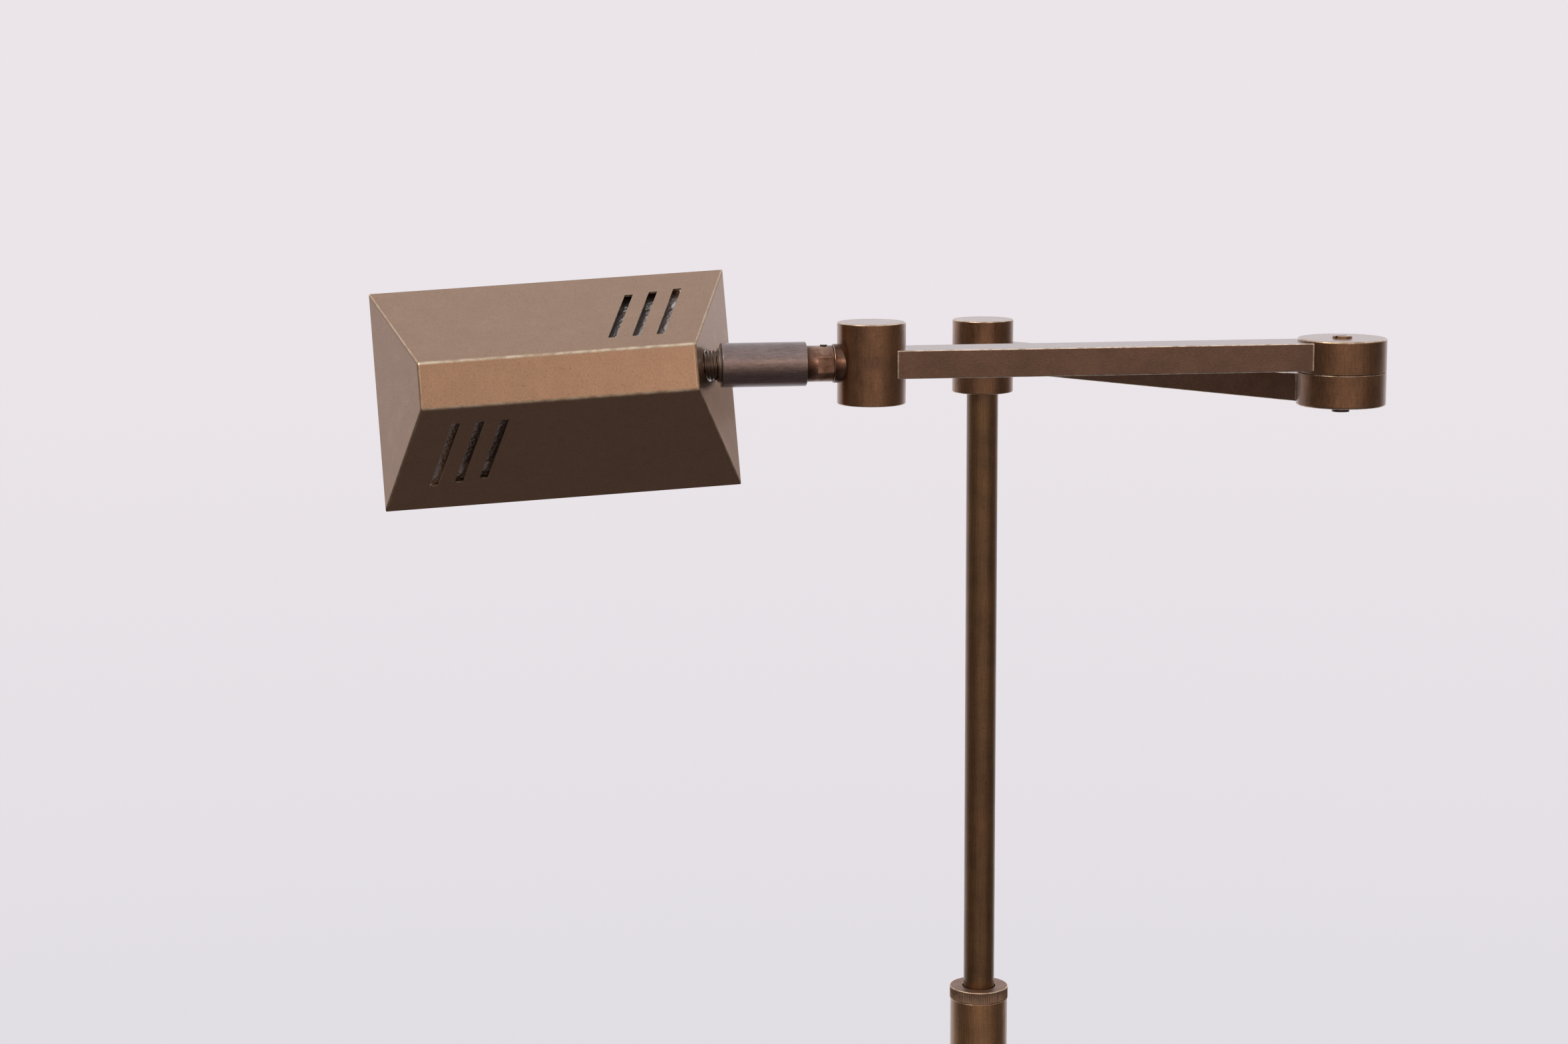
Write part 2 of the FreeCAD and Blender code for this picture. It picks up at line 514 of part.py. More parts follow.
def rectangle(sketch, half_length, half_width):
    add_polygon(sketch, [(f"-({half_length})", f"-({half_width})"),
                         (half_length, f"-({half_width})"), (half_length, half_width),
                         (f"-({half_length})", half_width)])


def loft(body, kind, name, sections):
    """A ruled loft through rectangles given as (depth, half length, half width)."""
    sketches = []
    for index, (depth, half_length, half_width) in enumerate(sections):
        sketch = new_sketch(body, "XY_Plane", f"{name}_{index}", at(0, 0, f"-({depth})"))
        sketch.setExpression("AttachmentOffset.Base.z", bound(f"-({depth})"))
        rectangle(sketch, half_length, half_width)
        sketches.append(sketch)
    feature = body.newObject("PartDesign::" + kind, name)
    feature.Profile = sketches[0]
    feature.Sections = sketches[1:]
    feature.Ruled = True
    body.Tip = feature
    doc.recompute()
    return feature


shade = new_body("shade")
outer = loft(shade, "AdditiveLoft", "shade_outside", [
    ("0", "ridge_length / 2", "ridge_width / 2"),
    ("shade_depth", "open_length / 2", "open_width / 2")])
soft_edges = [f"Edge{n}" for n, edge in enumerate(outer.Shape.Edges, start=1)
              if edge.BoundBox.ZMax > -1e-6]
rounding = shade.newObject("PartDesign::Fillet", "shade_rounding")
rounding.Base = (outer, soft_edges)
rounding.setExpression("Radius", bound("shade_round"))
shade.Tip = rounding
doc.recompute()
loft(shade, "SubtractiveLoft", "shade_inside", [
    ("shade_sheet", f"ridge_length / 2 + {END_SLOPE} * shade_sheet - {END_INSET}",
     f"ridge_width / 2 + {SIDE_SLOPE} * shade_sheet - {SIDE_INSET}"),
    ("shade_depth + 1", f"ridge_length / 2 + {END_SLOPE} * (shade_depth + 1) - {END_INSET}",
     f"ridge_width / 2 + {SIDE_SLOPE} * (shade_depth + 1) - {SIDE_INSET}")])

# three slanting vents in each long panel, the two sets opposite each other about the middle
PANEL = "(((open_width - ridge_width) / 2) ^ 2 + shade_depth ^ 2) ^ 0.5"
LEAN = f"((open_length - ridge_length) / 2 / ({PANEL}))"
panel_tilt = math.degrees(math.atan2(number("shade_depth"),
                                     number("(open_width - ridge_width) / 2")))
for panel, half_turn in (("lower", 0), ("upper", 180)):
    on_panel = Placement(Vector(0, 0, 0), Rotation(Vector(0, 0, 1), half_turn)).multiply(
        Placement(Vector(0, number("ridge_width / 2"), 0),
                  Rotation(Vector(1, 0, 0), -panel_tilt)))
    vents = new_sketch(shade, "XY_Plane", f"{panel}_vents", on_panel)
    for vent in range(3):
        near = "slot_near"
        far = f"slot_far - {vent} * slot_step"
        start = f"slot_start - {vent} * slot_pitch"
        add_polygon(vents, [
            (f"{start} + {LEAN} * ({near}) - slot_width / 2", near),
            (f"{start} + {LEAN} * ({near}) + slot_width / 2", near),
            (f"{start} + {LEAN} * ({far}) + slot_width / 2", far),
            (f"{start} + {LEAN} * ({far}) - slot_width / 2", far)])
    add_pocket(shade, vents, "8", middle=True)

# the nipple's entry in the end panel, along the shade's own length
entry = new_sketch(shade, "YZ_Plane", "nipple_entry", at(0, 0, "-open_length / 2"))
add_circle(entry, "-entry_below", "-entry_rise", "entry_radius")
add_pocket(shade, entry, "open_length / 2 - ridge_length / 2 + 6", backwards=True)
keep("shade", shade, SHADE)

# ---------------------------------------------------------------- inside the shade
# the bracket: a foot soldered under the ridge and an upright plate that the nipple clamps
BRACKET_X = "(-shade_ahead)"
bracket = new_body("shade_bracket")
upright = new_sketch(bracket, "YZ_Plane", "bracket_upright", at(0, 0, f"{BRACKET_X} - plate / 2"))
add_polygon(upright, [
    ("-bracket_neck", "-shade_sheet"), ("bracket_neck", "-shade_sheet"), ("bracket_neck", -3),
    ("bracket_half", "-bracket_shoulder"), ("bracket_half", "-bracket_foot"),
    ("-bracket_half", "-bracket_foot"), ("-bracket_half", "-bracket_shoulder"),
    ("-bracket_neck", -3)])
add_circle(upright, "-shade_below", "-shade_rise", "entry_radius")
add_pad(bracket, upright, "plate")
foot = new_sketch(bracket, "XZ_Plane", "bracket_foot")
add_polygon(foot, [
    (f"{BRACKET_X} + plate / 2", "-shade_sheet"),
    (f"{BRACKET_X} + bracket_length", "-shade_sheet"),
    (f"{BRACKET_X} + bracket_length", "-shade_sheet - plate"),
    (f"{BRACKET_X} + plate / 2", "-shade_sheet - plate")])
add_pad(bracket, foot, "2 * bracket_neck", middle=True)
tapped = new_sketch(bracket, "XY_Plane", "bracket_tapped_holes")
SCREW_PLACES = ("-far_screw", "-near_screw")
for x in SCREW_PLACES:
    add_circle(tapped, x, 0, 1.5)
add_pocket(bracket, tapped, "8", middle=True)
keep("shade_bracket", bracket, SHADE)

# the reflector: one folded sheet whose lips reach out to the shade's long panels
reflector = new_body("reflector")
fold = new_sketch(reflector, "YZ_Plane", "reflector_fold", at(0, 0, "-reflector_half"))
TOP = "shade_sheet + plate"
half_outside = [("reflector_foot", f"-({TOP})"), ("reflector_spread", "-reflector_depth"),
                ("reflector_lip", "-reflector_depth - 2")]
half_inside = [("reflector_lip", "-reflector_depth - 2 - reflector_sheet"),
               ("reflector_spread - 0.45", "-reflector_depth - reflector_sheet"),
               ("reflector_foot - 0.25", f"-({TOP}) - reflector_sheet")]
half = half_outside + half_inside
add_polygon(fold, half + [(f"-({y})", z) for y, z in reversed(half)])
add_pad(reflector, fold, "2 * reflector_half")
notch = new_sketch(reflector, "XY_Plane", "reflector_notch")
add_polygon(notch, [("-reflector_half - 2", "-notch_half"), ("-notch_end", "-notch_half"),
                    ("-notch_end", "notch_half"), ("-reflector_half - 2", "notch_half")])
add_pocket(reflector, notch, "16", middle=True)
holes = new_sketch(reflector, "XY_Plane", "reflector_holes")
for x in SCREW_PLACES:
    add_circle(holes, x, 0, 1.6)
add_pocket(reflector, holes, "16", middle=True)
keep("reflector", reflector, SHADE)

screws = [turned(f"reflector_screw_{n}", [
    (0, "-shade_sheet - 0.1"), (1.5, "-shade_sheet - 0.1"),
    (1.5, f"-({TOP}) - reflector_sheet"), (2.8, f"-({TOP}) - reflector_sheet"),
    (2.8, f"-({TOP}) - reflector_sheet - 1.2"), (2.2, f"-({TOP}) - reflector_sheet - 1.8"),
    (0, f"-({TOP}) - reflector_sheet - 1.8")], finished=False) for n in (1, 2)]
for screw_body, x in zip(screws, SCREW_PLACES):
    screw_body.Placement = at(x, 0, 0)
pair = doc.addObject("Part::Compound", "reflector_screws_pair")
pair.Links = screws
keep("reflector_screws", pair, SHADE)

# the lampholder's bracket: a Z-bent strap from the nipple down to the lamp's axis
strap = new_body("holder_bracket")
bend = new_sketch(strap, "XZ_Plane", "holder_strap_bend")
BACK = f"({BRACKET_X} + plate / 2)"
FRONT = "(holder_start - plate)"
add_polygon(bend, [
    (BACK, "-strap_top"), (f"{BACK} + plate", "-strap_top"), (f"{BACK} + plate", "-strap_foot + plate"),
    (FRONT, "-strap_foot + plate"), (FRONT, "-strap_tab_top"), ("holder_start", "-strap_tab_top"),
    ("holder_start", "-strap_foot"), (BACK, "-strap_foot")])
add_pad(strap, bend, "strap_width", middle=True)
strap_entry = new_sketch(strap, "YZ_Plane", "strap_nipple_hole", at(0, 0, f"{BACK} - 1"))
add_circle(strap_entry, "-shade_below", "-shade_rise", "entry_radius")
add_pocket(strap, strap_entry, "plate + 2", backwards=True)
strap_hole = new_sketch(strap, "YZ_Plane", "strap_holder_hole", at(0, 0, f"{FRONT} - 0.5"))
add_circle(strap_hole, 0, "-lamp_depth", "5 + running_gap")
add_pocket(strap, strap_hole, "plate + 1", backwards=True)
keep("holder_bracket", strap, SHADE)
hex_nut("holder_nut", 14, 2.6, 5, LAMP.multiply(at(0, 0, "holder_start - plate - 2.6")))

# the lamp's own frame has Z along the lamp, with the shade's X as its origin
holder = turned("lampholder", [
    (3, "holder_start - plate - 2.6"), (5, "holder_start - plate - 2.6"), (5, "holder_start"),
    ("holder_radius - 2", "holder_start"), ("holder_radius", "holder_start + 3"),
    ("holder_radius", "holder_start + holder_length - 1"),
    ("holder_radius - 1", "holder_start + holder_length"),
    ("holder_bore_radius + 2", "holder_start + holder_length"),
    ("holder_bore_radius", "holder_start + holder_length - 3"),
    ("holder_bore_radius", "holder_start + 10"), (3, "holder_start + 10")], finished=False)
# local X of the lamp's frame points to the shade's -Z, so "above" is -X
wire_hole = cylinder("holder_wire_hole", 2, 12, at(-8.25, -2.44, "holder_start - 1"))
keep("lampholder", cut("lampholder_cut", holder, [wire_hole]), LAMP)
tube("lampholder_shell", "shell_radius", "shell_radius - shell_wall", 20,
     LAMP.multiply(at(0, 0, "holder_start + 12")))
turned("lamp_cap", [
    (0, -26.5), (2.5, -26.5), ("cap_screw_radius", -22), ("cap_screw_radius", -5),
    (0, -5)], LAMP)
turned("lamp_glass", [
    (0, -5), (6.8, -5), ("glass_radius - 2.5", 0), ("glass_radius", 6),
    ("glass_radius", "glass_end - 6"), ("glass_radius - 2.5", "glass_end - 1.8"),
    ("glass_radius - 6", "glass_end"), (0, "glass_end"), (0, "glass_end - glass_wall"),
    ("glass_radius - 6.3", "glass_end - glass_wall"),
    ("glass_radius - 3.2", "glass_end - 2.5"), ("glass_radius - glass_wall", "glass_end - 6.4"),
    ("glass_radius - glass_wall", 6.2), ("glass_radius - 3.3", 0.5), (6, "-5 + glass_wall"),
    (0, "-5 + glass_wall")], LAMP)
turned("lamp_filament_stem", [
    (0, "-5 + glass_wall"), (3.4, "-5 + glass_wall"), (3, 4), (1.6, 14), (0.9, 15), (0.9, 30),
    (0, 30)], LAMP)

# ---------------------------------------------------------------- checks and files
doc.recompute()
failed = [o.Name for o in doc.Objects if "Invalid" in o.State or "Error" in o.State]
if failed:
    raise RuntimeError("failed objects: " + ", ".join(failed))
os.makedirs("parts", exist_ok=True)
for node, piece in PIECES.items():
    shape = piece.Shape
    if shape.isNull() or not shape.isValid():
        raise RuntimeError(node + " has no valid shape")
    shape.exportStep(f"parts/{node}.step")
    low, high = shape.BoundBox.ZMin, shape.BoundBox.ZMax
    print(f"{node:24s} solids {len(shape.Solids)}  volume {shape.Volume:12.1f}  z {low:8.2f} {high:8.2f}")
print(len(PIECES), "pieces")
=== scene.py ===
"""The looks of a pharmacy floor lamp in hand-brushed old bronze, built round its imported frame."""
from math import atan2, pi, radians, sin, sqrt, tan

import bmesh
import bpy
import numpy as np
from mathutils import Matrix, Vector


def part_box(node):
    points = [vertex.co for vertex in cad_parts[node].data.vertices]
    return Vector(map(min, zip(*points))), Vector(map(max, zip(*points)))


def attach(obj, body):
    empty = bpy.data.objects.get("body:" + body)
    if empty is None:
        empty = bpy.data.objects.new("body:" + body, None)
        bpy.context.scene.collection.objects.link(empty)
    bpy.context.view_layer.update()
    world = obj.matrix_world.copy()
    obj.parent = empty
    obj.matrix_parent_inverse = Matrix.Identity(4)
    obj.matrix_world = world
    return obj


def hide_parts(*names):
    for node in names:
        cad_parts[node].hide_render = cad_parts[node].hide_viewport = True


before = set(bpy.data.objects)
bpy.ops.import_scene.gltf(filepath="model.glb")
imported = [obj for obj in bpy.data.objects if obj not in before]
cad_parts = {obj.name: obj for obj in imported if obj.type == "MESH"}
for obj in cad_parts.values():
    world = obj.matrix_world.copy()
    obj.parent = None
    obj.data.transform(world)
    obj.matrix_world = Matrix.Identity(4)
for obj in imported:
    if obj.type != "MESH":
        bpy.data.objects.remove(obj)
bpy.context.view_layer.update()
scene = bpy.context.scene

# ------------------------ camera
# A long lens at standing height, in front of the lamp and a little to its left, looking
# slightly down at the head and the arms.


def add_object(name, data):
    """An object of a camera, a light or a mesh, in the scene."""
    made = bpy.data.objects.new(name, data)
    scene.collection.objects.link(made)
    return made


camera_data = bpy.data.cameras.new("camera")
camera_data.lens = 71.88
camera_data.sensor_width = 36.0
camera_data.clip_end = 100.0
camera = add_object("camera", camera_data)
camera.matrix_world = (Matrix.Translation((-0.2844, -1.4607, 1.2681))
                       @ Matrix.Rotation(radians(-7.36), 4, "Z")
                       @ Matrix.Rotation(radians(90 - 9.08), 4, "X")
                       @ Matrix.Rotation(radians(-0.22), 4, "Z"))
scene.camera = camera
scene.view_settings.view_transform = "Standard"

# ------------------------ studio
# A plain pale round floor in a pale, softly lit room. The metal mirrors the room, so the room is
# pale above and behind the lamp and dim low down in front of it, where the poles look.


def linear(colour):
    """A linear RGBA colour from an sRGB hex string such as "#9A7B55"."""
    channels = [int(colour[i:i + 2], 16) / 255 for i in (1, 3, 5)]
    return [c / 12.92 if c <= 0.04045 else ((c + 0.055) / 1.055) ** 2.4 for c in channels] + [1.0]


def add_node(tree, kind, settings=None, *values, **inputs):
    """One shader node with its settings, the values of its first inputs, and its named inputs.

    A value is a constant, a socket, or a node, which stands for its own first output."""
    node = tree.nodes.new("ShaderNode" + kind)
    for name, value in (settings or {}).items():
        setattr(node, name, value)
    for key, value in [*enumerate(values), *inputs.items()]:
        if isinstance(value, bpy.types.Node):
            value = value.outputs[0]
        if isinstance(value, bpy.types.NodeSocket):
            tree.links.new(value, node.inputs[key])
        else:
            node.inputs[key].default_value = value
    return node


room = bpy.data.worlds.new("pale_room")
scene.world = room
room.use_nodes = True
tree = room.node_tree
tree.nodes.clear()
GRADUAL = {"interpolation_type": "SMOOTHSTEP"}
direction = add_node(tree, "TexCoord").outputs["Generated"]
axes = add_node(tree, "SeparateXYZ", None, direction)
front_height = add_node(tree, "MapRange", GRADUAL, axes.outputs["Z"], -0.72, 0.48, 0.0, 1.0)
rear_height = add_node(tree, "MapRange", GRADUAL, axes.outputs["Z"], -0.36, -0.08, 0.0, 1.0)
ceiling_height = add_node(tree, "MapRange", GRADUAL, axes.outputs["Z"], 0.3, 0.75, 0.0, 1.0)
rear_ramp = add_node(tree, "MapRange", GRADUAL, axes.outputs["Y"], 0.05, 0.95, 0.0, 1.0)
aside = add_node(tree, "Math", {"operation": "ABSOLUTE"}, axes.outputs["X"])
side_ramp = add_node(tree, "MapRange", GRADUAL, aside, 0.3, 0.95, 1.0, 0.38)
front_tone = add_node(tree, "MixRGB", None, front_height, linear("#635D60"), linear("#F4E0D8"))
rear_tone = add_node(tree, "MixRGB", None, rear_height, linear("#E4E2E9"), linear("#ECE6EA"))
dimmed = add_node(tree, "VectorMath", {"operation": "SCALE"}, front_tone, Scale=side_ramp)
wall_tone = add_node(tree, "MixRGB", None, rear_ramp, dimmed, rear_tone)
tone = add_node(tree, "MixRGB", None, ceiling_height, wall_tone, linear("#EBEBF4"))
# seen directly, the room is one pale wall; the gradient is for the metal to mirror
seen = add_node(tree, "LightPath").outputs["Is Camera Ray"]
wall_height = add_node(tree, "MapRange", None, axes.outputs["Z"], -0.34, -0.1, 0.0, 1.0)
wall = add_node(tree, "MixRGB", None, wall_height, linear("#E0DDE3"), linear("#EBE5E9"))
shown = add_node(tree, "MixRGB", None, seen, tone, wall)
glow = add_node(tree, "Background", None, shown, 1.0)
add_node(tree, "OutputWorld", None, glow)

FLOOR_RADIUS = 1.7
FLOOR_STEPS = 128
rim_angle = np.linspace(0, 2 * pi, FLOOR_STEPS, endpoint=False)
floor_mesh = bpy.data.meshes.new("studio_floor")
floor_rim = np.stack([FLOOR_RADIUS * np.cos(rim_angle), FLOOR_RADIUS * np.sin(rim_angle),
                      0 * rim_angle], -1)
floor_mesh.from_pydata(floor_rim.tolist(), [], [list(range(FLOOR_STEPS))])
floor = add_object("studio_floor", floor_mesh)
floor.visible_glossy = False
floor_paint = bpy.data.materials.new("matt_floor_paint")
floor_paint.use_nodes = True
shader = floor_paint.node_tree.nodes["Principled BSDF"]
shader.inputs["Base Color"].default_value = linear("#F3EEF0")
shader.inputs["Roughness"].default_value = 0.9
shader.inputs["Specular IOR Level"].default_value = 0.1
floor_mesh.materials.append(floor_paint)


def add_softbox(name, place, aim, width, height, power, colour):
    """A rectangular area light at a place, turned to face a point."""
    data = bpy.data.lights.new(name, "AREA")
    data.shape = "RECTANGLE"
    data.size = width
    data.size_y = height
    data.energy = power
    data.color = linear(colour)[:3]
    box = add_object(name, data)
    facing = (Vector(aim) - Vector(place)).to_track_quat("-Z", "Y")
    box.matrix_world = Matrix.Translation(place) @ facing.to_matrix().to_4x4()


head_middle = (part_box("shade")[0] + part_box("shade")[1]) / 2
add_softbox("key_softbox", (-1.6, -1.2, 2.6), head_middle, 1.2, 0.9, 16, "#FFF4EA")
add_softbox("near_softbox", (0.25, -1.35, 1.58), head_middle, 0.35, 0.3, 0.9, "#FFEDE4")

# ------------------------ base
# A cast-iron weight on a felt pad, under a spun brass cover whose edge is rolled over. A turned
# foot ring, held down by the stud inside, stands the pole on it.
MM = 0.001
TURNED_STEPS = 128


def add_mesh(name, grid, close_rows=False, wear=None):
    """A mesh from a grid of points, rows by columns, whose columns run round and close.

    The faces join each point to its neighbours in the next row and the next column. wear is a
    value per point, 1 where hands and polishing have bared the metal."""
    rows, columns = grid.shape[:2]
    index = np.arange(rows * columns).reshape(rows, columns)
    beside = np.roll(index, -1, 1)
    faces = np.stack([index, beside, np.roll(beside, -1, 0), np.roll(index, -1, 0)], -1)
    faces = faces[:rows if close_rows else rows - 1].reshape(-1, 4)
    mesh = bpy.data.meshes.new(name)
    mesh.vertices.add(rows * columns)
    mesh.vertices.foreach_set("co", grid.reshape(-1).astype(np.float32))
    mesh.loops.add(faces.size)
    mesh.loops.foreach_set("vertex_index", faces.reshape(-1).astype(np.int32))
    mesh.polygons.add(len(faces))
    mesh.polygons.foreach_set("loop_start", np.arange(0, faces.size, 4, dtype=np.int32))
    if wear is not None:
        attribute = mesh.attributes.new("wear", "FLOAT", "POINT")
        attribute.data.foreach_set("value", np.broadcast_to(wear, (rows, columns)).reshape(-1)
                                   .astype(np.float32))
    mesh.update()
    mesh.validate()
    return add_object(name, mesh)


def smooth(piece, angle=32):
    """Smooth shading, broken where two faces meet at more than an angle."""
    piece.data.shade_smooth()
    piece.data.set_sharp_from_angle(angle=radians(angle))
    return piece


def rounded_outline(corners, radius, steps=4):
    """A closed outline with each corner replaced by an arc, and the wear of each of its points.

    An arc touches both sides of its corner, with a support point just beyond each end, so that
    flat faces shade flat. It has the asked radius, or as much of it as the shorter side leaves
    room for. A point is worn in the middle of an outward arc."""
    corners = np.asarray(corners, float)
    radii = np.broadcast_to(np.asarray(radius, float), len(corners))
    before, after = np.roll(corners, 1, 0), np.roll(corners, -1, 0)
    area = np.sum(corners[:, 0] * after[:, 1] - corners[:, 1] * after[:, 0])
    points, wear = [], []
    for corner, left, right, wanted in zip(corners, before, after, radii):
        to_left, to_right = left - corner, right - corner
        room = min(np.hypot(*to_left), np.hypot(*to_right))
        to_left, to_right = to_left / np.hypot(*to_left), to_right / np.hypot(*to_right)
        half_angle = np.arccos(np.clip(to_left @ to_right, -1, 1)) / 2
        if wanted <= 0 or half_angle > radians(88):
            points.append(corner[None])
            wear.append([0.0])
            continue
        reach = min(wanted / tan(half_angle), 0.42 * room)
        actual = reach * tan(half_angle)
        bisector = (to_left + to_right) / np.hypot(*(to_left + to_right))
        middle = corner + bisector * actual / sin(half_angle)
        turn = to_right[0] * to_left[1] - to_right[1] * to_left[0]
        start = atan2(*(corner + to_left * reach - middle)[::-1])
        sweep = (pi - 2 * half_angle) * (1 if turn > 0 else -1)
        share = np.linspace(0, 1, steps + 1)
        angles = start + sweep * share
        support = min(0.25 * actual + 0.05, 0.49 * room - reach)
        points += [(corner + to_left * (reach + support))[None],
                   middle + actual * np.stack([np.cos(angles), np.sin(angles)], -1),
                   (corner + to_right * (reach + support))[None]]
        outward = 1.0 if turn * area > 0 else 0.0
        wear += [[0.0], outward * np.sin(pi * share), [0.0]]
    return np.concatenate(points), np.concatenate(wear)


def carried(points, place):
    """Points turned and moved to a place."""
    return points @ np.array(place.to_3x3()).T + np.array(place.translation)


def turned(name, profile, radius, place=Matrix.Identity(4), steps=TURNED_STEPS, arc_steps=4):
    """A piece turned on a lathe about its place's Z axis.

    The profile is a closed list of (radius, height) corners in millimetres, each rounded by its
    radius. A point of the surface is (r cos t, r sin t, z) for a point (r, z) of the outline and
    an angle t."""
    outline, wear = rounded_outline(profile, radius, arc_steps)
    angle = np.linspace(0, 2 * pi, steps, endpoint=False)
    r, z = outline[:, :1], outline[:, 1:]
    grid = carried(np.stack([r * np.cos(angle), r * np.sin(angle), z + 0 * angle], -1) * MM, place)
    return tidy_turned(add_mesh(name, grid, close_rows=True, wear=wear[:, None]))


def tidy_turned(piece):
    """Merges the points that meet on the axis and turns every face outwards."""
    shape = bmesh.new()
    shape.from_mesh(piece.data)
    bmesh.ops.remove_doubles(shape, verts=shape.verts, dist=1e-6)
    bmesh.ops.dissolve_degenerate(shape, edges=shape.edges, dist=1e-7)
    bmesh.ops.recalc_face_normals(shape, faces=shape.faces)
    shape.to_mesh(piece.data)
    shape.free()
    return smooth(piece)


def new_material(name):
    """A new material, its node tree, its shader and the place that its patterns are laid out on."""
    material = bpy.data.materials.new(name)
    material.use_nodes = True
    tree = material.node_tree
    place = add_node(tree, "TexCoord").outputs["Object"]
    return material, tree, tree.nodes["Principled BSDF"], place


# Patinated brass is brown and satin: the polish shows through as a warm metal under a thin, uneven
# oxide. Brushing leaves grain about 0.3 mm wide. Darker spots are pits in the patina, and bare
# bright brass shows where a worn edge has lost it.


def patinated_brass(name, tone, dark_tone, worn_tone, grain_axis=(1, 1, 1), roughness=0.36,
                    mottle=0.5, edge=1.0, streaks=0.2, coat=0.8, wear_attribute=True):
    """Old-bronze brass in one tone, with grain stretched along the axis that has a small scale.

    streaks is how much lighter or darker the brushing lines are than the tone between them, edge
    is how strongly worn edges show, and coat is the weight of the wax over the patina."""
    material, tree, shader, place = new_material(name)
    # cloudy patches 8 to 15 mm across, and pits under a millimetre
    clouds = add_node(tree, "TexNoise", Vector=place, Scale=90.0, Detail=5.0, Roughness=0.62)
    cloud_step = add_node(tree, "MapRange", None, clouds, 0.36, 0.68, 0.0, mottle)
    pits = add_node(tree, "TexNoise", Vector=place, Scale=1400.0, Detail=2.0, Roughness=0.7)
    pit_step = add_node(tree, "MapRange", None, pits, 0.56, 0.74, 0.0, 0.75)
    stretched = add_node(tree, "Mapping", Vector=place, Scale=grain_axis)
    grain = add_node(tree, "TexNoise", Vector=stretched, Scale=1600.0, Detail=3.0, Roughness=0.6)
    grain_step = add_node(tree, "MapRange", None, grain, 0.3, 0.7, 1.0 - streaks, 1.0 + streaks)
    broad = add_node(tree, "TexNoise", Vector=stretched, Scale=330.0, Detail=2.0, Roughness=0.5)
    broad_step = add_node(tree, "MapRange", None, broad, 0.3, 0.7, 1.0 - 0.4 * streaks,
                          1.0 + 0.3 * streaks)
    base = add_node(tree, "MixRGB", None, cloud_step, linear(tone), linear(dark_tone))
    pitted = add_node(tree, "MixRGB", None, pit_step, base, linear(dark_tone))
    shade_of_grain = add_node(tree, "Math", {"operation": "MULTIPLY"}, grain_step, broad_step)
    grained = add_node(tree, "VectorMath", {"operation": "SCALE"}, pitted, Scale=shade_of_grain)
    colour = grained.outputs[0]
    rough = add_node(tree, "MapRange", None, clouds, 0.3, 0.7, roughness - 0.06, roughness + 0.1)
    roughness_out = rough.outputs[0]
    if wear_attribute:
        worn = add_node(tree, "Attribute", {"attribute_name": "wear"}).outputs["Fac"]
        breaks = add_node(tree, "TexNoise", Vector=place, Scale=260.0, Detail=4.0)
        break_step = add_node(tree, "MapRange", None, breaks, 0.38, 0.6, 0.35, 1.0)
        bared = add_node(tree, "Math", {"operation": "MULTIPLY"}, worn, break_step)
        bared = add_node(tree, "Math", {"operation": "MULTIPLY", "use_clamp": True}, bared, edge)
        polished = add_node(tree, "MixRGB", None, bared, colour, linear(worn_tone))
        colour = polished.outputs[0]
        smoother = add_node(tree, "MapRange", None, bared, 0.0, 1.0, roughness, 0.24)
        least = add_node(tree, "Math", {"operation": "MINIMUM"}, roughness_out, smoother)
        roughness_out = least.outputs[0]
    tree.links.new(colour, shader.inputs["Base Color"])
    tree.links.new(roughness_out, shader.inputs["Roughness"])
    shader.inputs["Metallic"].default_value = 1.0
    shader.inputs["Coat Weight"].default_value = coat
    shader.inputs["Coat Roughness"].default_value = 0.15
    bump = add_node(tree, "Bump", Strength=0.35, Distance=0.00008, Height=grain)
    deeper = add_node(tree, "Bump", Strength=0.5, Distance=0.0001, Height=pits, Normal=bump)
    tree.links.new(deeper.outputs[0], shader.inputs["Normal"])
    return material


def finish_piece(piece, material, body, slot, *nodes):
    """Gives a new piece its material and its body, and hides the CAD nodes that it stands for; slot
    is not used.
    """
    piece.data.materials.clear()
    piece.data.materials.append(material)
    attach(piece, body)
    if nodes:
        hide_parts(*nodes)


def paint(material, *nodes):
    """Puts a material on CAD nodes that keep their own mesh."""
    for node in nodes:
        for material_slot in bpy.data.objects[node].material_slots:
            material_slot.material = material


spun_brass = patinated_brass("patinated_brass_spun", "#6E4C2E", "#3A2717", "#E3C79C")

cover_low, cover_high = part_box("base_cover")
cover_radius, cover_top, cover_bottom = cover_high.x / MM, cover_high.z / MM, cover_low.z / MM
COVER_WALL = 1.2
SHOULDER = 5.0
STUD_HOLE = 5.2
cover = turned("spun_cover", [
    (cover_radius - COVER_WALL, cover_bottom), (cover_radius, cover_bottom),
    (cover_radius, cover_top), (STUD_HOLE, cover_top), (STUD_HOLE, cover_top - COVER_WALL),
    (cover_radius - COVER_WALL, cover_top - COVER_WALL)],
    [0.3, 0.4, SHOULDER, 0.2, 0.2, SHOULDER - COVER_WALL], arc_steps=10, steps=192)
finish_piece(cover, spun_brass, "base", "aged_brass", "base_cover")

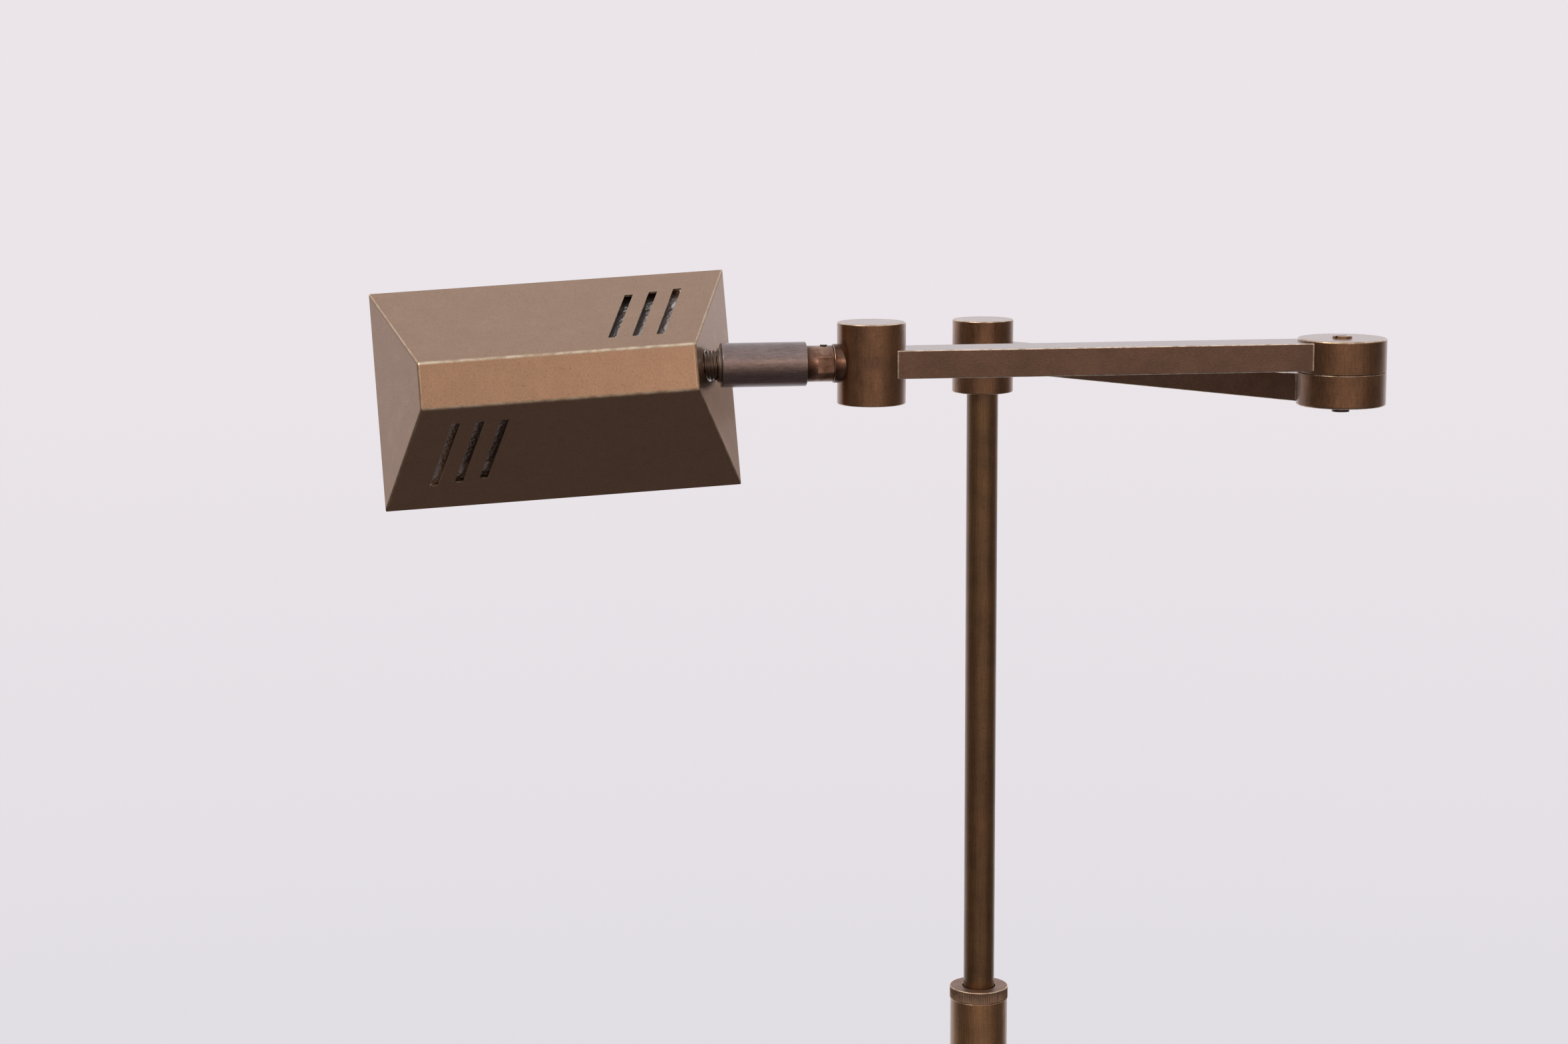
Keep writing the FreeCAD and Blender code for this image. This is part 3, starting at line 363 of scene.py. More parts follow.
flange_low, flange_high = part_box("pole_flange")
flange_foot, flange_radius = flange_low.z / MM, flange_high.x / MM
outer_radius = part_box("outer_pole")[1].x / MM
FLANGE_HEIGHT = 16.0
FLANGE_FLOOR = 3.0
FLANGE_BORE = 5.05
SOCKET_FIT = 0.02
flange = turned("foot_flange", [
    (FLANGE_BORE, flange_foot), (flange_radius, flange_foot), (flange_radius, flange_foot + 2.8),
    (flange_radius - 4.6, flange_foot + 5.0), (outer_radius + 3.4, flange_foot + 7.6),
    (outer_radius + 2, flange_foot + 11), (outer_radius + 2, flange_foot + FLANGE_HEIGHT),
    (outer_radius + SOCKET_FIT, flange_foot + FLANGE_HEIGHT),
    (outer_radius + SOCKET_FIT, flange_foot + FLANGE_FLOOR),
    (FLANGE_BORE, flange_foot + FLANGE_FLOOR)],
    [0.2, 0.5, 0.9, 1.0, 2.5, 1.5, 0.7, 0.2, 0.1, 0.2])
finish_piece(flange, spun_brass, "base", "aged_brass", "pole_flange")

felt_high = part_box("base_felt_pad")[1]
felt_radius, felt_height = felt_high.x / MM, felt_high.z / MM
felt_pad = turned("felt_pad", [(0, 0), (felt_radius, 0), (felt_radius, felt_height),
                               (0, felt_height)], [0, 0.4, 0.6, 0])
# pressed wool felt is matt, with matted fibres a fraction of a millimetre wide that catch light
wool_felt, tree, shader, place = new_material("pressed_wool_felt")
fibres = add_node(tree, "TexNoise", Vector=place, Scale=2200.0, Detail=4.0, Roughness=0.8,
                  Distortion=1.5)
fibre_tone = add_node(tree, "MixRGB", None, fibres, linear("#1E2B22"), linear("#46574A"))
tree.links.new(fibre_tone.outputs[0], shader.inputs["Base Color"])
fibre_bump = add_node(tree, "Bump", Strength=0.7, Distance=0.0002, Height=fibres)
tree.links.new(fibre_bump.outputs[0], shader.inputs["Normal"])
shader.inputs["Roughness"].default_value = 0.95
shader.inputs["Specular IOR Level"].default_value = 0.15
finish_piece(felt_pad, wool_felt, "base", "felt", "base_felt_pad")

# ------------------------ cord inlet
# A bush moulded in black rubber, snapped into the cover's rear wall, where the supply cord goes
# in. Its flange stops it outside, and its bore is rounded so as not to cut the cord.


def plain_finish(name, colour, other, scale, roughness, metallic=0.0, bump=0.0001):
    """A material of two close tones in a noise pattern, which also roughens the surface."""
    material, tree, shader, place = new_material(name)
    noise = add_node(tree, "TexNoise", Vector=place, Scale=scale, Detail=4.0, Roughness=0.6)
    step = add_node(tree, "MapRange", None, noise, 0.35, 0.65, 0.0, 1.0)
    tone = add_node(tree, "MixRGB", None, step, linear(colour), linear(other))
    tree.links.new(tone.outputs[0], shader.inputs["Base Color"])
    rough = add_node(tree, "MapRange", None, noise, 0.3, 0.7, roughness - 0.05, roughness + 0.07)
    tree.links.new(rough.outputs[0], shader.inputs["Roughness"])
    shader.inputs["Metallic"].default_value = metallic
    rise = add_node(tree, "Bump", Strength=0.6, Distance=bump, Height=noise)
    tree.links.new(rise.outputs[0], shader.inputs["Normal"])
    return material


INLET_HEIGHT = 9.0
INLET_BORE = 3.1
BUSH_NECK = 5.0
BUSH_FLANGE = 6.2
BUSH_FLANGE_THICKNESS = 1.5
# moulded rubber is dull, with a broad weak sheen
black_rubber = plain_finish("moulded_black_rubber", "#17181A", "#232427", 900.0, 0.62, bump=0.00005)
bush_low, bush_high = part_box("cord_inlet_bush")
bush_place = (Matrix.Translation((0, bush_low.y, INLET_HEIGHT * MM))
              @ Matrix.Rotation(radians(-90), 4, "X"))
bush_length = (bush_high.y - bush_low.y) / MM
inlet_bush = turned("inlet_bush", [
    (INLET_BORE, 0), (BUSH_FLANGE, 0), (BUSH_FLANGE, BUSH_FLANGE_THICKNESS),
    (BUSH_NECK, BUSH_FLANGE_THICKNESS), (BUSH_NECK, bush_length), (INLET_BORE, bush_length)],
    [0.3, 0.4, 0.3, 0.2, 0.9, 0.7], place=bush_place, steps=64)
finish_piece(inlet_bush, black_rubber, "base", "black_rubber", "cord_inlet_bush")

# ------------------------ inside the base
# A grey iron casting gives the weight. A hollow threaded stud, with a washer and nut in a recess
# underneath, draws the pole down on the cover, and the lead runs to it in a channel.

# sand leaves cast iron grainy and dark; zinc plate is a pale, even grey; the sheath is smooth PVC
cast_iron = plain_finish("sand_cast_iron", "#232323", "#3A3937", 500.0, 0.7, metallic=0.6,
                         bump=0.0004)
zinc_steel = plain_finish("zinc_plated_steel", "#A9A9A6", "#8C8F90", 700.0, 0.34, metallic=1.0,
                          bump=0.00004)
lead_sheath = plain_finish("extruded_pvc_sheath", "#C9C3B2", "#BDB6A4", 400.0, 0.45,
                           bump=0.00003)
paint(cast_iron, "base_weight")
paint(zinc_steel, "base_stud", "base_washer", "base_nut")
paint(lead_sheath, "base_lead", "supply_lead")

# ------------------------ outer pole and its ferrule
# Drawn brass tube, 28 mm across, patinated and then rubbed up and down, so its streaks run along
# it. A turned ferrule pressed in its top has the thread for the collar, over a split nylon collet.
drawn_brass = patinated_brass("patinated_brass_drawn", "#805F3A", "#4A301C", "#E3C79C",
                              grain_axis=(1.0, 1.0, 0.03), roughness=0.42, mottle=0.45)
# turned brass is bright yellow with fine tool marks, and nylon is milky and slightly waxy
raw_brass = plain_finish("turned_raw_brass", "#B98F4E", "#A27C42", 900.0, 0.3, metallic=1.0,
                         bump=0.00003)
nylon = plain_finish("moulded_natural_nylon", "#DCD7C8", "#CFC9B8", 600.0, 0.4, bump=0.00003)
OUTER_WALL = 1.5
# the outer tube gets a lighter copy of the drawn brass: painted light, making up for the dim room
# low down in front of it, which it mirrors
outer_brass_painted_lighter = patinated_brass("patinated_brass_outer_tube_painted_lighter", "#B0865A", "#6B4D34", "#E8CFA6",
                              grain_axis=(1.0, 1.0, 0.03), roughness=0.34, mottle=0.4)


def drawn_tube(name, node, wall, top_edge, steps=TURNED_STEPS):
    """An upright tube on the pole's axis, with its node's radius and ends and a given wall."""
    low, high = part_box(node)
    radius, foot, top = high.x / MM, low.z / MM, high.z / MM
    return turned(name, [(radius - wall, foot), (radius, foot), (radius, top),
                         (radius - wall, top)], [0.1, 0.2, top_edge, 0.1], steps=steps)


outer_pole = drawn_tube("outer_tube", "outer_pole", OUTER_WALL, 0.3)
finish_piece(outer_pole, outer_brass_painted_lighter, "base", "aged_brass", "outer_pole")
paint(raw_brass, "pole_foot_plug", "pole_ferrule")
paint(nylon, "clamp_collet", "pole_guide_sleeve")

# ------------------------ lock collar
# A turned brass ring screwed on the ferrule. Its side is straight-knurled for the fingers, and the
# upper edge is rubbed bright by them.
collar_low, collar_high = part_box("lock_collar")
collar_radius, collar_foot, collar_top = (collar_high.x / MM, collar_low.z / MM,
                                          collar_high.z / MM)
inner_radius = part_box("inner_pole")[1].x / MM
KNURL_TEETH = 96
KNURL_DEPTH = 0.3
KNURL_FOOT_GAP = 0.6
KNURL_TOP_GAP = 0.9
COLLAR_ROOF = 1.4
FERRULE_THREAD = 11.55
POLE_GAP = 0.7
outline, wear = rounded_outline([
    (FERRULE_THREAD, collar_foot), (collar_radius, collar_foot),
    (collar_radius, collar_foot + 0.9), (collar_radius, collar_top - 1.1),
    (collar_radius, collar_top), (inner_radius + POLE_GAP, collar_top),
    (inner_radius + POLE_GAP, collar_top - COLLAR_ROOF),
    (FERRULE_THREAD, collar_top - COLLAR_ROOF)],
    [0.1, 0.2, 0, 0, 0.75, 0.3, 0.1, 0.1])
angle = np.linspace(0, 2 * pi, KNURL_TEETH * 4, endpoint=False)
r, z = outline[:, :1], outline[:, 1:]
# the knurl is a triangle wave round the ring, cut only in the band between the two edges
tooth = np.abs((angle * KNURL_TEETH / (2 * pi)) % 1.0 - 0.5) * 2
in_band = ((r > collar_radius - 0.01) & (z > collar_foot + KNURL_FOOT_GAP)
           & (z < collar_top - KNURL_TOP_GAP))
radius_now = r - in_band * KNURL_DEPTH * tooth
grid = np.stack([radius_now * np.cos(angle), radius_now * np.sin(angle), z + 0 * angle], -1) * MM
ridge_wear = np.maximum(wear[:, None], in_band * 0.45 * (1 - tooth))
collar = tidy_turned(add_mesh("knurled_collar", grid, close_rows=True, wear=ridge_wear))
# handling has left the collar duller and browner than the tubes
collar_brass = patinated_brass("patinated_brass_knurled", "#9A7A66", "#5E4839", "#F6DDB4",
                               roughness=0.5, mottle=0.35, coat=0.2)
finish_piece(collar, collar_brass, "lock_collar", "aged_brass", "lock_collar")

# ------------------------ inner pole and its spindle
# A 15 mm brass tube that slides in the outer one on a nylon sleeve. The raw brass spindle pressed
# in its top carries the hub, under a washer and a nut.
INNER_WALL = 1.2
inner_pole = drawn_tube("inner_tube", "inner_pole", INNER_WALL, 0.2, steps=96)
finish_piece(inner_pole, drawn_brass, "inner_pole", "aged_brass", "inner_pole")
paint(raw_brass, "pole_spindle", "hub_washer", "hub_nut")
paint(lead_sheath, "pole_lead")

# ------------------------ hub
# A turned brass barrel that swings on the spindle, closed by a disc pressed flush in its top. It
# is brushed up and down, and its edges are worn to bare brass.
turned_brass = patinated_brass("patinated_brass_turned", "#8E6745", "#4E3621", "#EFD9B8",
                               grain_axis=(1.0, 1.0, 0.12), roughness=0.3, mottle=0.5)
CAP_RADIUS = 12.5
CAP_HEIGHT = 2.5
CAP_SEAM = 0.06


def upright(middle, foot):
    """A placement for a piece turned about an upright axis: its middle and its foot, in metres."""
    return Matrix.Translation((middle.x, middle.y, foot))


hub_low, hub_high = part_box("hub_barrel")
hub_middle = (hub_low + hub_high) / 2
hub_radius = (hub_high.x - hub_low.x) / 2 / MM
hub_height = (hub_high.z - hub_low.z) / MM
BARREL_BORE = 11.0
HUB_WEB = 17.8
HUB_SOCKET = 7.55
HUB_SOCKET_DEPTH = 9.55
SPINDLE_HOLE = 5.0
hub = turned("hub_body", [
    (HUB_SOCKET, 0), (hub_radius, 0), (hub_radius, hub_height), (CAP_RADIUS, hub_height),
    (CAP_RADIUS, hub_height - CAP_HEIGHT), (BARREL_BORE, hub_height - CAP_HEIGHT),
    (BARREL_BORE, HUB_WEB), (SPINDLE_HOLE, HUB_WEB), (SPINDLE_HOLE, HUB_SOCKET_DEPTH),
    (HUB_SOCKET, HUB_SOCKET_DEPTH)],
    [0.2, 0.5, 0.5, 0.15, 0.1, 0.1, 0.3, 0.1, 0.1, 0.1], place=upright(hub_middle, hub_low.z))
finish_piece(hub, turned_brass, "lower_arm", "aged_brass", "hub_barrel")


def end_disc(name, node, body, middle):
    """A disc pressed flush in the end of a barrel, with a fine seam round it."""
    low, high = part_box(node)
    disc = turned(name, [(0, 0), (CAP_RADIUS - CAP_SEAM, 0), (CAP_RADIUS - CAP_SEAM, CAP_HEIGHT),
                         (0, CAP_HEIGHT)], [0, 0.2, 0.2, 0], place=upright(middle, low.z))
    finish_piece(disc, turned_brass, body, "aged_brass", node)


end_disc("hub_end_disc", "hub_cap", "lower_arm", hub_middle)

# ------------------------ arms
# Two rectangular brass tubes, 22 by 12 mm, coped to the round pieces they meet and silver-brazed
# there. Their long edges are worn to bare brass, and so are the edges of the elbow's discs.
ARM_WIDTH = 22.0
ARM_DEPTH = 12.0
ARM_LENGTH = 204.8
ARM_EDGE = 0.8
elbow_low, elbow_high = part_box("elbow_lower_disc")
elbow_middle = (elbow_low + elbow_high) / 2
disc_radius = (elbow_high.x - elbow_low.x) / 2 / MM
disc_height = (elbow_high.z - elbow_low.z) / MM


def brass_arm(name, node, body, heading):
    """A rectangular bar between two upright axes, with hollowed ends that fit round them.

    Its section is a rounded rectangle in (y, z). A point of it runs along the arm from
    x = sqrt(R1^2 - y^2) at the elbow to x = L - sqrt(R2^2 - y^2) at the barrel."""
    half_width, half_depth = ARM_WIDTH / 2, ARM_DEPTH / 2
    across = np.linspace(-half_width, half_width, 23)[1:-1]
    corners = ([(-half_width, -half_depth)] + [(y, -half_depth) for y in across]
               + [(half_width, -half_depth), (half_width, half_depth)]
               + [(y, half_depth) for y in across[::-1]] + [(-half_width, half_depth)])
    radii = [ARM_EDGE if abs(y) == half_width else 0 for y, z in corners]
    section, wear = rounded_outline(corners, radii)
    y, z = section[:, 0], section[:, 1]
    start = np.sqrt(disc_radius ** 2 - y ** 2)
    end = ARM_LENGTH - np.sqrt(hub_radius ** 2 - y ** 2)
    share = np.array([0, 0.004, 0.03, 0.2, 0.4, 0.6, 0.8, 0.97, 0.996, 1.0])[:, None]
    grid = np.stack(np.broadcast_arrays(start + (end - start) * share, y, z), -1) * MM
    low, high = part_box(node)
    place = (Matrix.Translation((elbow_middle.x, elbow_middle.y, (low.z + high.z) / 2))
             @ Matrix.Rotation(heading, 4, "Z"))
    grid = carried(grid, place)
    # the brazed ends are filed bright
    filed = np.where((share == 0) | (share == 1), 0.6, 0.0)
    arm = add_mesh(name, grid, wear=np.maximum(wear[None, :], filed))
    # the two end outlines are filled
    count, total = len(section), grid.shape[0] * grid.shape[1]
    shape = bmesh.new()
    shape.from_mesh(arm.data)
    shape.verts.ensure_lookup_table()
    for loop in (range(count), range(total - count, total)):
        shape.faces.new([shape.verts[i] for i in loop])
    bmesh.ops.recalc_face_normals(shape, faces=shape.faces)
    shape.to_mesh(arm.data)
    shape.free()
    finish_piece(smooth(arm), arm_brass, body, "aged_brass", node)


arm_brass = patinated_brass("patinated_brass_bar", "#7B5D49", "#4A3526", "#F4E2C6",
                            grain_axis=(0.5, 0.5, 1.0), roughness=0.32, mottle=0.35,
                            streaks=0.14, edge=1.5)
to_hub = Vector((hub_middle.x - elbow_middle.x, hub_middle.y - elbow_middle.y))
brass_arm("lower_bar", "lower_arm", "lower_arm", atan2(to_hub.y, to_hub.x))
brass_arm("upper_bar", "upper_arm", "upper_arm", pi)
paint(lead_sheath, "lower_arm_lead", "upper_arm_lead")

# ------------------------ elbow
# Two turned brass cups face to face on a slotted screw, with a thin fibre washer between them
# that keeps the swing stiff. Each one is hollow, for the lead, and brazed to its arm.
DISC_FLOOR = 3.3
DISC_RIM = 3.5
BOSS_RADIUS = 7.0
SCREW_BORE = 2.55
SEAT_RADIUS = 4.5
SEAT_DEPTH = 3.0


def elbow_cup(name, node, body, outer_face, flip):
    """One of the elbow's cups, from its outer face inwards; flip is 1 for the lower one."""
    profile = [(SCREW_BORE, SEAT_DEPTH), (SEAT_RADIUS, SEAT_DEPTH), (SEAT_RADIUS, 0),
               (disc_radius, 0), (disc_radius, disc_height),
               (disc_radius - DISC_RIM, disc_height), (disc_radius - DISC_RIM, DISC_FLOOR),
               (BOSS_RADIUS, DISC_FLOOR), (BOSS_RADIUS, disc_height), (SCREW_BORE, disc_height)]
    profile = [(r, flip * z) for r, z in profile]
    cup = turned(name, profile, [0.05, 0.05, 0.25, 0.8, 0.2, 0.1, 0.1, 0.1, 0.1, 0.05],
                 place=Matrix.Translation((elbow_middle.x, elbow_middle.y, outer_face)))
    finish_piece(cup, turned_brass, body, "aged_brass", node)


elbow_cup("elbow_cup_lower", "elbow_lower_disc", "lower_arm", elbow_low.z, 1)
elbow_cup("elbow_cup_upper", "elbow_upper_disc", "upper_arm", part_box("elbow_upper_disc")[1].z, -1)
# the screws' brass is browned like the rest, and the fibre washer is dry and nearly black
dark_brass = patinated_brass("darkened_brass_screw", "#4A3828", "#241A12", "#8C6C44",
                             roughness=0.4, mottle=0.4, wear_attribute=False)
fibre = plain_finish("vulcanised_fibre", "#241A14", "#33261D", 1200.0, 0.7)
screw_brass = patinated_brass("patinated_brass_screw", "#A5805C", "#5A412A", "#E3C79C",
                              roughness=0.3, mottle=0.3, wear_attribute=False)
paint(screw_brass, "elbow_screw")
paint(dark_brass, "elbow_nut")
paint(fibre, "elbow_friction_washer")

# ------------------------ head barrel
# A turned brass barrel like the hub's, brazed to the upper arm, and closed at both ends by discs
# pressed flush in it. The stem leaves it on the side away from the arm.
barrel_low, barrel_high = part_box("head_barrel")
barrel_middle = (barrel_low + barrel_high) / 2
barrel = turned("head_barrel_body", [
    (CAP_RADIUS, 0), (hub_radius, 0), (hub_radius, hub_height), (CAP_RADIUS, hub_height),
    (CAP_RADIUS, hub_height - CAP_HEIGHT), (BARREL_BORE, hub_height - CAP_HEIGHT),
    (BARREL_BORE, CAP_HEIGHT), (CAP_RADIUS, CAP_HEIGHT)],
    [0.15, 0.5, 0.5, 0.15, 0.1, 0.1, 0.1, 0.1], place=upright(barrel_middle, barrel_low.z))
finish_piece(barrel, turned_brass, "upper_arm", "aged_brass", "head_barrel")
end_disc("barrel_disc_top", "barrel_top_cap", "upper_arm", barrel_middle)
end_disc("barrel_disc_bottom", "barrel_bottom_cap", "upper_arm", barrel_middle)

# ------------------------ stem
# A short saddle brazed to the barrel, and the turned brass stem screwed in it: a round collar
# with two flats for a wrench, a small grub screw on top, and a spigot that the sleeve turns on.

# the stem's own frame has Z outwards along it, measured from the barrel's axis, and X up
stem_place = Matrix.Translation(barrel_middle) @ Matrix.Rotation(radians(-90), 4, "Y")
stem_brass = patinated_brass("patinated_brass_stem", "#5C3D2C", "#38241A", "#E2B79A",
                             grain_axis=(0.15, 1.0, 1.0), roughness=0.27, mottle=0.4,
                             edge=0.7, coat=0.2)
SADDLE_RADIUS = 8.2
SADDLE_END = 16.62
SADDLE_BORE = 5.0
round_angle = np.linspace(0, 2 * pi, 96, endpoint=False)


def placed_grid(radius, along, across_limit=None):
    """Points (r cos t, r sin t, z) with y held inside a limit, carried to the stem's place."""
    x, y = radius * np.cos(round_angle), radius * np.sin(round_angle)
    if across_limit is not None:
        y = np.clip(y, -across_limit, across_limit)
    return carried(np.stack([x, y, along + 0 * x], -1) * MM, stem_place)


end_arc = np.linspace(0, pi / 2, 4)[:, None]
saddle_radii = np.concatenate([[[SADDLE_RADIUS]], [[SADDLE_RADIUS]],
                               SADDLE_RADIUS - 0.4 + 0.4 * np.cos(end_arc), [[SADDLE_BORE]],
                               [[SADDLE_BORE]]])
saddle_cope = np.sqrt(hub_radius ** 2 - (saddle_radii * np.sin(round_angle)) ** 2)
end_height = np.concatenate([[[SADDLE_END - 0.6]], SADDLE_END - 0.4 + 0.4 * np.sin(end_arc),
                             [[SADDLE_END]]])
saddle_along = np.concatenate([saddle_cope[:1], end_height + 0 * round_angle, saddle_cope[-1:]])
saddle_wear = np.array([0.35, 0, 0, 1, 1, 0, 0, 0])[:, None]
saddle = tidy_turned(add_mesh("saddle", placed_grid(saddle_radii, saddle_along),
                              close_rows=True, wear=saddle_wear))
finish_piece(saddle, stem_brass, "upper_arm", "aged_brass", "stem_saddle")

STEM_RADIUS = 7.6
STEM_END = 27.95
SPIGOT_RADIUS = 6.0
SPIGOT_END = 50.0
FLAT_LENGTH = 7.0
FLAT_DEPTH = 0.9
STEM_BORE = 3.0
STEM_START = 9.0
# rows of (radius, distance, limit across): the limit flattens the two sides next to the saddle
full, held = 2 * STEM_RADIUS, STEM_RADIUS - FLAT_DEPTH
flat_end = SADDLE_END + FLAT_LENGTH
rows = np.array([
    (STEM_BORE, STEM_START, full), (SADDLE_BORE - 0.05, STEM_START, full),
    (SADDLE_BORE - 0.05, SADDLE_END, full),
    (STEM_RADIUS - 0.25, SADDLE_END, held), (STEM_RADIUS, SADDLE_END + 0.25, held),
    (STEM_RADIUS, flat_end, held), (STEM_RADIUS, flat_end + 0.01, full),
    (STEM_RADIUS, STEM_END - 0.4, full), (STEM_RADIUS - 0.12, STEM_END - 0.12, full),
    (STEM_RADIUS - 0.4, STEM_END, full), (SPIGOT_RADIUS, STEM_END, full),
    (SPIGOT_RADIUS, SPIGOT_END, full), (STEM_BORE, SPIGOT_END, full)])
grid = placed_grid(rows[:, :1], rows[:, 1:2], rows[:, 2:])
stem_wear = np.array([0, 0, 0, 0.5, 0.3, 0.6, 0.6, 0, 1, 0, 0, 0, 0])[:, None]
stem = tidy_turned(add_mesh("stem_collar", grid, close_rows=True, wear=stem_wear))
finish_piece(stem, stem_brass, "upper_arm", "aged_brass", "swivel_stem")
paint(dark_brass, "stem_stop_screw")
paint(raw_brass, "stem_washer", "stem_nut")

# ------------------------ swivel sleeve
# A turned brass sleeve that turns on the spigot, with both its edges eased. A longer dip has left
# it greyer than the rest, and it is satin-brushed along its length.
sleeve_brass = patinated_brass("patinated_brass_sleeve", "#87756D", "#5E4F4B", "#8D7466",
                               grain_axis=(0.15, 1.0, 1.0), roughness=0.38, mottle=0.3,
                               edge=0.5)
SLEEVE_RADIUS = 9.35
SLEEVE_START = 28.0
SLEEVE_END = 64.0
NIPPLE_RADIUS = 6.5
NIPPLE_START = 56.0
CHAMBER_RADIUS = 8.2
CHAMBER_START = 40.0
sleeve = turned("sleeve", [
    (SPIGOT_RADIUS + 0.05, SLEEVE_START), (SLEEVE_RADIUS, SLEEVE_START),
    (SLEEVE_RADIUS, SLEEVE_END), (NIPPLE_RADIUS, SLEEVE_END), (NIPPLE_RADIUS, NIPPLE_START),
    (CHAMBER_RADIUS, NIPPLE_START), (CHAMBER_RADIUS, CHAMBER_START),
    (SPIGOT_RADIUS + 0.05, CHAMBER_START)], [0.2, 0.45, 0.45, 0.1, 0.1, 0.1, 0.1, 0.1],
    place=stem_place)
finish_piece(sleeve, sleeve_brass, "head", "sleeve_bronze", "swivel_sleeve")

# ------------------------ threaded nipple
# A length of coarse-threaded brass tube between the sleeve and the shade's bracket, with a thin
# lock ring against the sleeve.
THREAD_PITCH = 1.5
THREAD_DEPTH = 0.6
NIPPLE_END = 89.9
NIPPLE_BORE = 4.5
along = np.arange(NIPPLE_START, NIPPLE_END, THREAD_PITCH / 8)[:, None]
phase = (along / THREAD_PITCH - round_angle / (2 * pi)) % 1.0
# a thread is a ridge that is highest in the middle of each pitch and fades out at both ends
ridge = 1 - np.abs(phase - 0.5) * 2
fade = np.clip(np.minimum(along - NIPPLE_START, NIPPLE_END - along), 0, 1)
radius_now = NIPPLE_RADIUS - THREAD_DEPTH * (1 - ridge * fade)
bore_rows = np.array([[NIPPLE_END], [NIPPLE_START]])
grid = np.concatenate([placed_grid(radius_now, along + 0 * round_angle),
                       placed_grid(NIPPLE_BORE + 0 * bore_rows, bore_rows)])
crest_wear = np.concatenate([0.32 * ridge ** 3 * fade, np.zeros((2, len(round_angle)))])
nipple = tidy_turned(add_mesh("threaded_nipple", grid, close_rows=True, wear=crest_wear))
thread_brass = patinated_brass("patinated_brass_thread", "#75665A", "#453A32", "#B5A48E",
                               roughness=0.42, mottle=0.4)
finish_piece(nipple, thread_brass, "head", "aged_brass", "shade_nipple")
RING_RADIUS = 7.2
RING_HEIGHT = 1.2
lock_ring = turned("lock_ring", [
    (NIPPLE_RADIUS, SLEEVE_END), (RING_RADIUS, SLEEVE_END),
    (RING_RADIUS, SLEEVE_END + RING_HEIGHT), (NIPPLE_RADIUS, SLEEVE_END + RING_HEIGHT)],
    [0.05, 0.15, 0.3, 0.1], place=stem_place)
finish_piece(lock_ring, thread_brass, "head", "aged_brass", "nipple_lock_ring")
# chemical blackening leaves steel dull and oily black; the nuts' black is also painted shade,
# standing in for the dark gap round the nipple's entry
black_steel_and_painted_shade = plain_finish("blackened_steel_and_painted_shade", "#1D1C1B", "#2A2826", 700.0, 0.6, metallic=1.0,
                           bump=0.00004)
paint(black_steel_and_painted_shade, "shade_outer_nut", "shade_inner_nut")
paint(lead_sheath, "head_lead")

# ------------------------ shade
# A trough folded from 1 mm brass sheet: a narrow ridge, two long sloping sides and two ends, with
# silver-brazed corners dressed round. Three slanting vents are sawn in each long side.

# the shade's own frame has the middle of the ridge's face as origin, X along it and Z out of it
RIDGE_HALF_LENGTH = 57.5
RIDGE_HALF_WIDTH = 9.75
OPEN_HALF_LENGTH = 75.5
OPEN_HALF_WIDTH = 46.5
SHADE_DEPTH = 40.0
SHEET = 1.0
CORNER_ROUND = 1.25
RIM_ROUND = 0.2
FIXING_DISTANCE = 82.4
SHADE_DIP = 3.16
SHADE_ROLL = -75.57
FIXING_TO_RIDGE = Vector((49.93, 2.44, 12.75))
shade_turn = (Matrix.Rotation(pi, 4, "Z") @ Matrix.Rotation(radians(SHADE_DIP), 4, "Y")
              @ Matrix.Rotation(radians(SHADE_ROLL), 4, "X"))
fixing = barrel_middle - Vector((FIXING_DISTANCE * MM, 0, 0))
shade_place = (Matrix.Translation(fixing) @ shade_turn
               @ Matrix.Translation(FIXING_TO_RIDGE * MM))
length_growth = OPEN_HALF_LENGTH - RIDGE_HALF_LENGTH
width_growth = OPEN_HALF_WIDTH - RIDGE_HALF_WIDTH
slant = sqrt(width_growth ** 2 + SHADE_DEPTH ** 2)
VENT_NEAR = 8.7
VENT_FAR = 42.1
VENT_STEP = 1.08
VENT_START = 40.7
VENT_PITCH = 10.1
VENT_WIDTH = 3.5

# Columns run down a long side from ridge to rim. Past the vents' side they keep the slope of the
# near corner, and on the other side they fan out to the far corner's slope.
vent_edges = [VENT_START - k * VENT_PITCH + side * VENT_WIDTH / 2
              for k in (2, 1, 0) for side in (-1, 1)]
columns = np.array([-RIDGE_HALF_LENGTH, *np.linspace(-50, 12, 8), *vent_edges, 50.0,
                    RIDGE_HALF_LENGTH])
LEAN_END = 5.0
lean = np.interp(columns, [-RIDGE_HALF_LENGTH, vent_edges[0] - LEAN_END], [-1.0, 1.0])
vent_far = [(VENT_FAR - k * VENT_STEP) / slant for k in (2, 1, 0)]
levels = np.array([0.0, 0.07, VENT_NEAR / slant, 0.35, 0.55, *vent_far, 0.92, 1.0])
points, faces = [], []


def add_points(new):
    """Adds points, an array of any shape by 3, and returns their numbers in that shape."""
    first = sum(len(block) for block in points)
    points.append(new.reshape(-1, 3))
    return first + np.arange(new.size // 3).reshape(new.shape[:-1])


def add_cells(index, skip=()):
    """Adds a quad for each cell of a grid of point numbers, less the cells to skip."""
    for row in range(index.shape[0] - 1):
        for column in range(index.shape[1] - 1):
            if (row, column) not in skip:
                faces.append([index[row, column], index[row, column + 1],
                              index[row + 1, column + 1], index[row + 1, column]])


